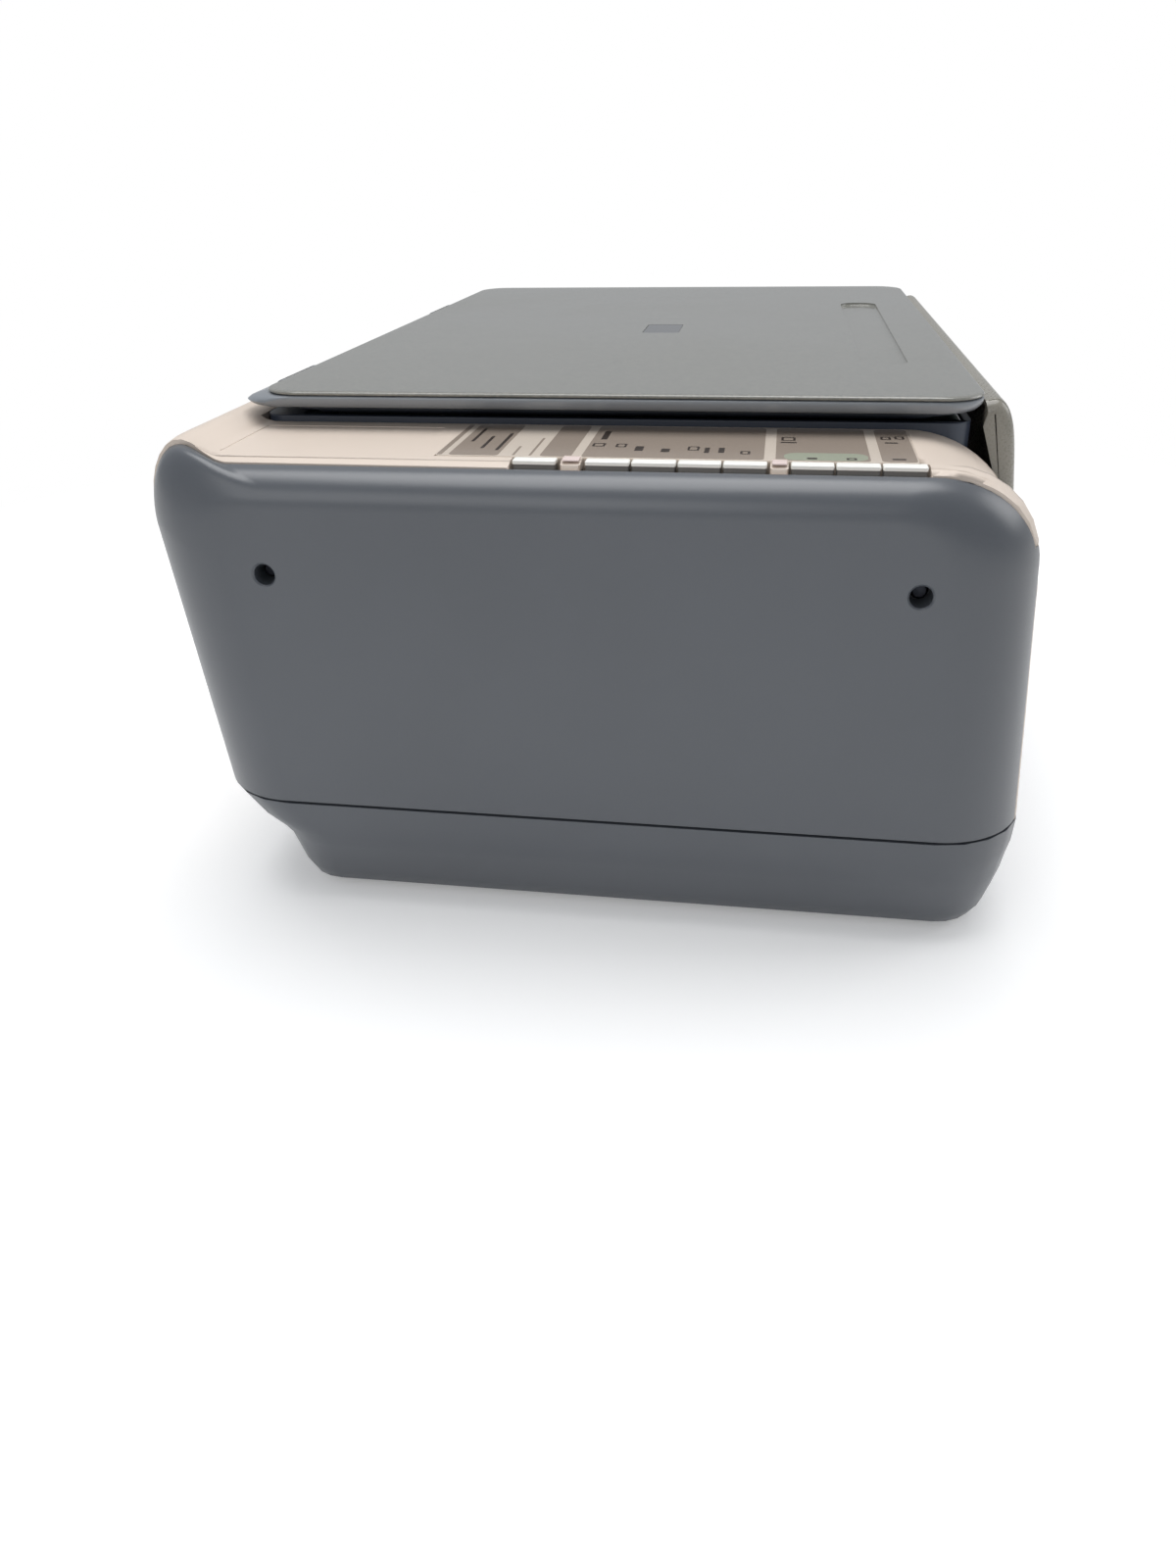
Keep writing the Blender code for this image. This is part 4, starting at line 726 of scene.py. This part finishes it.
def make_upper_case():
    """White case: its rim by the panels, the rounder front blocks, the lamp windows and the softened bay."""
    case = merged_copy("upper_case", "white_case")
    for sign in (-1, 1):
        stops = ((RIM_STEP_X - 3, 0.0), (RIM_STEP_X - 0.01, 0.0), (RIM_STEP_X, RIM_STEP),
                 (CASE_HALF + 0.2, RIM_FALL), (CASE_HALF + 3, RIM_FALL + 0.6))
        kept = skin("kept", [body_ring(sign * x, DECK_Z, TOOL_LOW, drop) for x, drop in stops])
        span = sorted((sign * (RIM_STEP_X - 1), sign * (CASE_HALF + 2)))
        tool = block("trim", span, (-TOOL_HALF, TOOL_HALF), (TOOL_FOOT, TOOL_HIGH))
        carve(tool, kept)
        carve(case, tool)
        carve(case, seam_tool(sign, CASE_TOOL_X, -GAP, SPLIT_Z - 2))
        round_block(case, sign)
    carve(case, block("dish", DISH_X, DISH_Y, (DISH_Z - 2, DISH_Z)), "UNION")
    for back, front in LAMP_EDGES:
        well = plate("well", (KEY_X[0] - 0.2, KEY_X[1] + 0.2), (front + WELL_MARGIN, back - WELL_MARGIN),
                     (LAMP_TOP - LAMP_DEPTH, LAMP_TOP + 2), 0.6)
        carve(case, well)
    only(case)
    bpy.ops.object.mode_set(mode="EDIT")
    pick("edges", lambda m, n: abs(abs(m.x) - CASE_HALF) < 0.02 and m.z > SPLIT_Z + 1, 40)
    bpy.ops.mesh.bevel(offset=RIM_RADIUS * MM, segments=2, affect="EDGES", clamp_overlap=False)
    pick("edges", lambda m, n: m.z > DECK_Z - 0.1 and min(abs(m.x - x) for x in BAY_X) < 0.05, 40)
    bpy.ops.mesh.bevel(offset=BAY_RADIUS * MM, segments=3, affect="EDGES", clamp_overlap=False)
    bpy.ops.object.mode_set(mode="OBJECT")
    stand_in(case, "abs_white", "upper_case")
    for k, (back, front) in enumerate(LAMP_EDGES):
        lens = plate("lamp_window_%d" % (k + 1), KEY_X, (front + LENS_MARGIN, back - LENS_MARGIN),
                     (LAMP_TOP - LAMP_DEPTH, LAMP_TOP - 0.05), 0.5, 0.15)
        dress(lens, "lamp_white", "chassis", "key_white")


def lid_ring(inset, z, rear, rise):
    """Rounded rectangle of the lid, drawn in by an inset, and more and higher at its rear."""
    radius = max(LID_CORNER - inset * LID_CORNER_FOLLOW, LID_CORNER_LEAST)
    xs = (LID_X[0] + inset, LID_X[1] - inset)
    ys = (LID_Y[0] + inset, LID_Y[1] - inset - rear)
    spots = [(xs[0], ys[0], radius), (xs[1], ys[0], radius), (xs[1], ys[1], radius), (xs[0], ys[1], radius)]
    ring = []
    for x, y in arc_corners(spots, 12):
        share = min(max((y - ys[1] + radius) / radius, 0.0), 1.0)
        ring.append((x, y, z + rise * share * share * (3 - 2 * share)))
    return ring


def make_lid():
    """Glossy skin with a rolled edge and a grip, over the grey band, with a groove between."""
    band = skin("lid_edge_band", [lid_ring(*stop) for stop in LID_BAND])
    dress(band, "abs_band_grey", body_holding("lid_cover"), "bed_navy")
    cover = skin("lid_skin", [lid_ring(*stop) for stop in LID_SKIN])
    grip = plate("grip", GRIP_X, GRIP_Y, (LID_TOP - GRIP_DEPTH, LID_TOP + 3), GRIP_CORNER, steps=10)
    only(grip)
    bpy.ops.object.mode_set(mode="EDIT")
    pick("edges", lambda m, n: m.z < LID_TOP - GRIP_DEPTH + 0.001)
    bpy.ops.mesh.bevel(offset=GRIP_FILLET * MM, segments=4, affect="EDGES", clamp_overlap=False)
    bpy.ops.object.mode_set(mode="OBJECT")
    carve(cover, grip)
    xs = (BADGE_X[0] - BADGE_GAP, BADGE_X[1] + BADGE_GAP)
    ys = (BADGE_Y[0] - BADGE_GAP, BADGE_Y[1] + BADGE_GAP)
    carve(cover, plate("badge_well", xs, ys, (LID_TOP - BADGE_DEPTH, LID_TOP + 3), BADGE_CORNER + 0.1))
    stand_in(cover, "lid_grey", "lid_cover")
    inlay = plate("lid_inlay", BADGE_X, BADGE_Y, (LID_TOP - BADGE_DEPTH, LID_TOP - 0.05), BADGE_CORNER, 0.2)
    dress(inlay, "badge_black", body_holding("lid_cover"), "dark_plastic")


def smooth_curve(points, steps):
    """Points of a soft curve through the given ones."""
    line = []
    last = len(points) - 1
    for k in range(last):
        a, b, c, d = (Vector(points[min(max(k + j, 0), last)]) for j in (-1, 0, 1, 2))
        for j in range(steps):
            t = j / steps
            line.append(0.5 * (2 * b + (c - a) * t + (2 * a - 5 * b + 4 * c - d) * t * t
                               + (3 * b - a - 3 * c + d) * t ** 3))
    line.append(Vector(points[last]))
    return line


def cover_outline(shrink):
    """Outline of the front cover with its face drawn in by so much."""
    face = smooth_curve(COVER_FACE, 4)
    points = []
    for k, here in enumerate(face):
        ahead = (face[min(k + 1, len(face) - 1)] - face[max(k - 1, 0)]).normalized()
        inward = Vector((-ahead.y, ahead.x))
        if k == len(face) - 1:
            inward = Vector((1.0, 0.0))
        points.append(tuple(here + inward * shrink))
    return points + list(COVER_BACK)


def make_front_cover():
    """Cartridge cover: a convex shell with rolled ends and a fine panel line."""
    rings = []
    for x, inwards in ((FRONT_X[0], 1), (FRONT_X[1], -1)):
        side = []
        for turn in range(0, 91, 15):
            angle = math.radians(turn)
            spot = x + inwards * COVER_END_RADIUS * (1 - math.cos(angle))
            shrink = COVER_END_RADIUS * (1 - math.sin(angle))
            side.append([(spot, u, v) for u, v in cover_outline(shrink)])
        rings += side if inwards > 0 else side[::-1]
    cover = skin("cartridge_cover", rings)
    shell = [(u + COVER_THICK[0], v + COVER_THICK[1]) for u, v in smooth_curve(COVER_FACE[:-1], 4)]
    deep, low = COVER_HOLLOW
    inner = [(deep, shell[0][1])] + shell + [(FRONT_Y + COVER_THICK[0] + 0.1, low), (deep, low)]
    span = (FRONT_X[0] + COVER_SIDE_WALL, FRONT_X[1] - COVER_SIDE_WALL)
    carve(cover, prism("hollow", inner, "X", span))
    line = block("panel_line", COVER_SEAM_X, (-145.0, -121.5), (COVER_SEAM_Z, 175.0))
    carve(line, prism("core", cover_outline(COVER_SEAM_DEPTH), "X", (FRONT_X[0] - 2, FRONT_X[1] + 2)))
    carve(cover, line)
    stand_in(cover, "abs_cover_grey", "front_cover")


def make_film():
    """Printed film: off-white sheet with raised brown fields, a lamp zone and marks without wording."""
    body = body_holding("control_overlay")
    sheet = plate("film_sheet", FILM_X, FILM_Y, FILM_Z, FILM_CORNER, 0.1)
    stand_in(sheet, "film_white", "control_overlay")
    for name, front, back in FIELDS:
        heights = (FILM_Z[1] - INK_SINK, FIELD_TOP)
        field = plate("film_field_" + name, FIELD_X, (front, back), heights, FIELD_CORNER)
        dress(field, "film_brown", body, "overlay_film")
    zone = plate("film_lamp_zone", *LAMP_ZONE, (FIELD_TOP - INK_SINK, FIELD_TOP + 0.02), 4.0)
    dress(zone, "film_green", body, "overlay_film")
    for k, (kind, x, y, long, wide) in enumerate(MARKS):
        xs, ys = (x - long / 2, x + long / 2), (y - wide / 2, y + wide / 2)
        mark = plate("film_mark_%d" % k, xs, ys, (FIELD_TOP - 0.01, FIELD_TOP + 0.04), 0.5)
        if kind == "ring":
            xs, ys = (xs[0] + INK_LINE, xs[1] - INK_LINE), (ys[0] + INK_LINE, ys[1] - INK_LINE)
            carve(mark, plate("hole", xs, ys, (FIELD_TOP - 1, FIELD_TOP + 1), 0.4))
        dress(mark, "film_ink", body, "overlay_film")
    for k, (x, y, long, wide) in enumerate(PALE_MARKS):
        xs, ys = (x - long / 2, x + long / 2), (y - wide / 2, y + wide / 2)
        mark = plate("film_pale_mark_%d" % k, xs, ys, (FILM_Z[1] - INK_SINK, FILM_Z[1] + 0.03), 0.3)
        dress(mark, "film_brown", body, "overlay_film")


def make_keys():
    """Glossy white key caps on skirts whose dark grey is painted shade."""
    for k, (back, front) in enumerate(KEY_EDGES):
        name = "key_%d" % (k + 1)
        ys = (front + KEY_GAP / 2, back - KEY_GAP / 2)
        cap = plate(name + "_cap", KEY_X, ys, (KEY_CAP_Z, KEY_Z[1]), 0.7, 0.35)
        stand_in(cap, "key_white", name)
        ys = (ys[0] + 0.15, ys[1] - 0.15)
        # The skirt's dark grey is painted shade for the gap under each cap
        skirt = plate(name + "_skirt", (KEY_X[0] + 0.12, KEY_X[1] - 0.12), ys, (KEY_Z[0], KEY_CAP_Z), 0.5)
        dress(skirt, "key_dark", body_holding(name), "dark_plastic")


def make_camera():
    """Camera at the photograph's place and aim."""
    yaw, pitch, roll = (math.radians(a) for a in (CAMERA_YAW, CAMERA_PITCH, CAMERA_ROLL))
    ahead = Vector((math.cos(pitch) * math.cos(yaw), math.cos(pitch) * math.sin(yaw), -math.sin(pitch)))
    right = Vector((math.sin(yaw), -math.cos(yaw), 0))
    up = right.cross(ahead)
    right, up = (math.cos(roll) * right + math.sin(roll) * up, math.cos(roll) * up - math.sin(roll) * right)
    data = bpy.data.cameras.new("camera")
    data.sensor_width = SENSOR
    data.lens = FOCAL_PIXELS / FRAME_LONG * SENSOR
    data.clip_start = 0.01
    camera = bpy.data.objects.new("camera", data)
    bpy.context.scene.collection.objects.link(camera)
    turn = Matrix((right, up, -ahead)).transposed().to_4x4()
    camera.matrix_world = Matrix.Translation(Vector(CAMERA_AT) * MM) @ turn
    bpy.context.scene.camera = camera


def make_light(name, place, aim, size, power):
    """Soft rectangular lamp."""
    data = bpy.data.lights.new(name, "AREA")
    data.shape = "RECTANGLE"
    data.size, data.size_y = size
    data.energy = power
    lamp = bpy.data.objects.new(name, data)
    bpy.context.scene.collection.objects.link(lamp)
    direction = Vector(aim) - Vector(place)
    lamp.location = place
    lamp.rotation_euler = direction.to_track_quat("-Z", "Y").to_euler()


def make_floor():
    """Pale floor that keeps the object's shadow and fades to pure white away from it."""
    bpy.ops.object.select_all(action="DESELECT")
    bpy.ops.mesh.primitive_plane_add(size=8.0, location=(0, 0, -0.0001))
    floor = bpy.context.object
    floor.name = "floor"
    mat = bpy.data.materials.new("floor_white")
    mat.use_nodes = True
    tree = mat.node_tree
    tree.nodes.clear()
    place = add(tree, "TexCoord")
    reach = add(tree, "VectorMath", {0: (place, "Object")}, operation="LENGTH")
    far = add(tree, "MapRange", {"Value": (reach, "Value"), "From Min": 0.3, "From Max": 0.62})
    path = add(tree, "LightPath")
    seen = add(tree, "Math", {0: (path, "Is Camera Ray"), 1: (path, "Is Glossy Ray")}, operation="MAXIMUM")
    seen = add(tree, "Math", {0: (seen, "Value"), 1: (path, "Is Transmission Ray")}, operation="MAXIMUM")
    away = add(tree, "Math", {0: (seen, "Value"), 1: (far, "Result")}, operation="MULTIPLY")
    paper = add(tree, "BsdfDiffuse", {"Color": (0.86, 0.86, 0.86, 1)})
    lift = add(tree, "Emission", {"Color": (1, 1, 1, 1), "Strength": FLOOR_LIFT})
    dark = add(tree, "Emission", {"Color": (0, 0, 0, 1), "Strength": 0.0})
    white = add(tree, "Emission", {"Color": (1, 1, 1, 1), "Strength": 1.0})
    glow = add(tree, "MixShader", {"Fac": (seen, "Value"), 1: (dark, "Emission"), 2: (lift, "Emission")})
    both = add(tree, "AddShader", {0: (paper, "BSDF"), 1: (glow, "Shader")})
    mixed = add(tree, "MixShader", {"Fac": (away, "Value"), 1: (both, "Shader"), 2: (white, "Emission")})
    add(tree, "OutputMaterial", {"Surface": (mixed, "Shader")})
    floor.data.materials.append(mat)


def make_studio():
    """White surroundings and soft lamps from above, from the left and from the front."""
    make_floor()
    world = bpy.data.worlds.new("surroundings")
    world.use_nodes = True
    tree = world.node_tree
    tree.nodes.clear()
    path = add(tree, "LightPath")
    white = add(tree, "Background", {"Color": (1, 1, 1, 1), "Strength": 1.0})
    fill = add(tree, "Background", {"Color": (0.93, 0.96, 1, 1), "Strength": SKY_LEVEL})
    pick_white = add(tree, "MixShader", {"Fac": (path, "Is Camera Ray"), 1: (fill, "Background"),
                                         2: (white, "Background")})
    add(tree, "OutputWorld", {"Surface": (pick_white, "Shader")})
    bpy.context.scene.world = world
    for lamp in LAMPS:
        make_light(*lamp)


def carry_over():
    """Give every node that keeps its shape its finish."""
    for finish, nodes in CARRIED.items():
        for node in nodes:
            obj = frame["nodes"][node]
            obj.data.materials.clear()
            obj.data.materials.append(MATERIALS[finish])


make_camera()
make_studio()
carry_over()
for node, (finish, radius, fold) in ROUNDED.items():
    stand_in(soften(merged_copy(node, node + "_finished"), radius, 2, fold), finish, node)
for side in ("left", "right"):
    make_panel(side)
make_upper_case()
make_lid()
make_front_cover()
make_film()
make_keys()
bpy.context.scene.view_settings.view_transform = "Standard"

if bpy.context.object and bpy.context.object.mode != "OBJECT":
    bpy.ops.object.mode_set(mode="OBJECT")
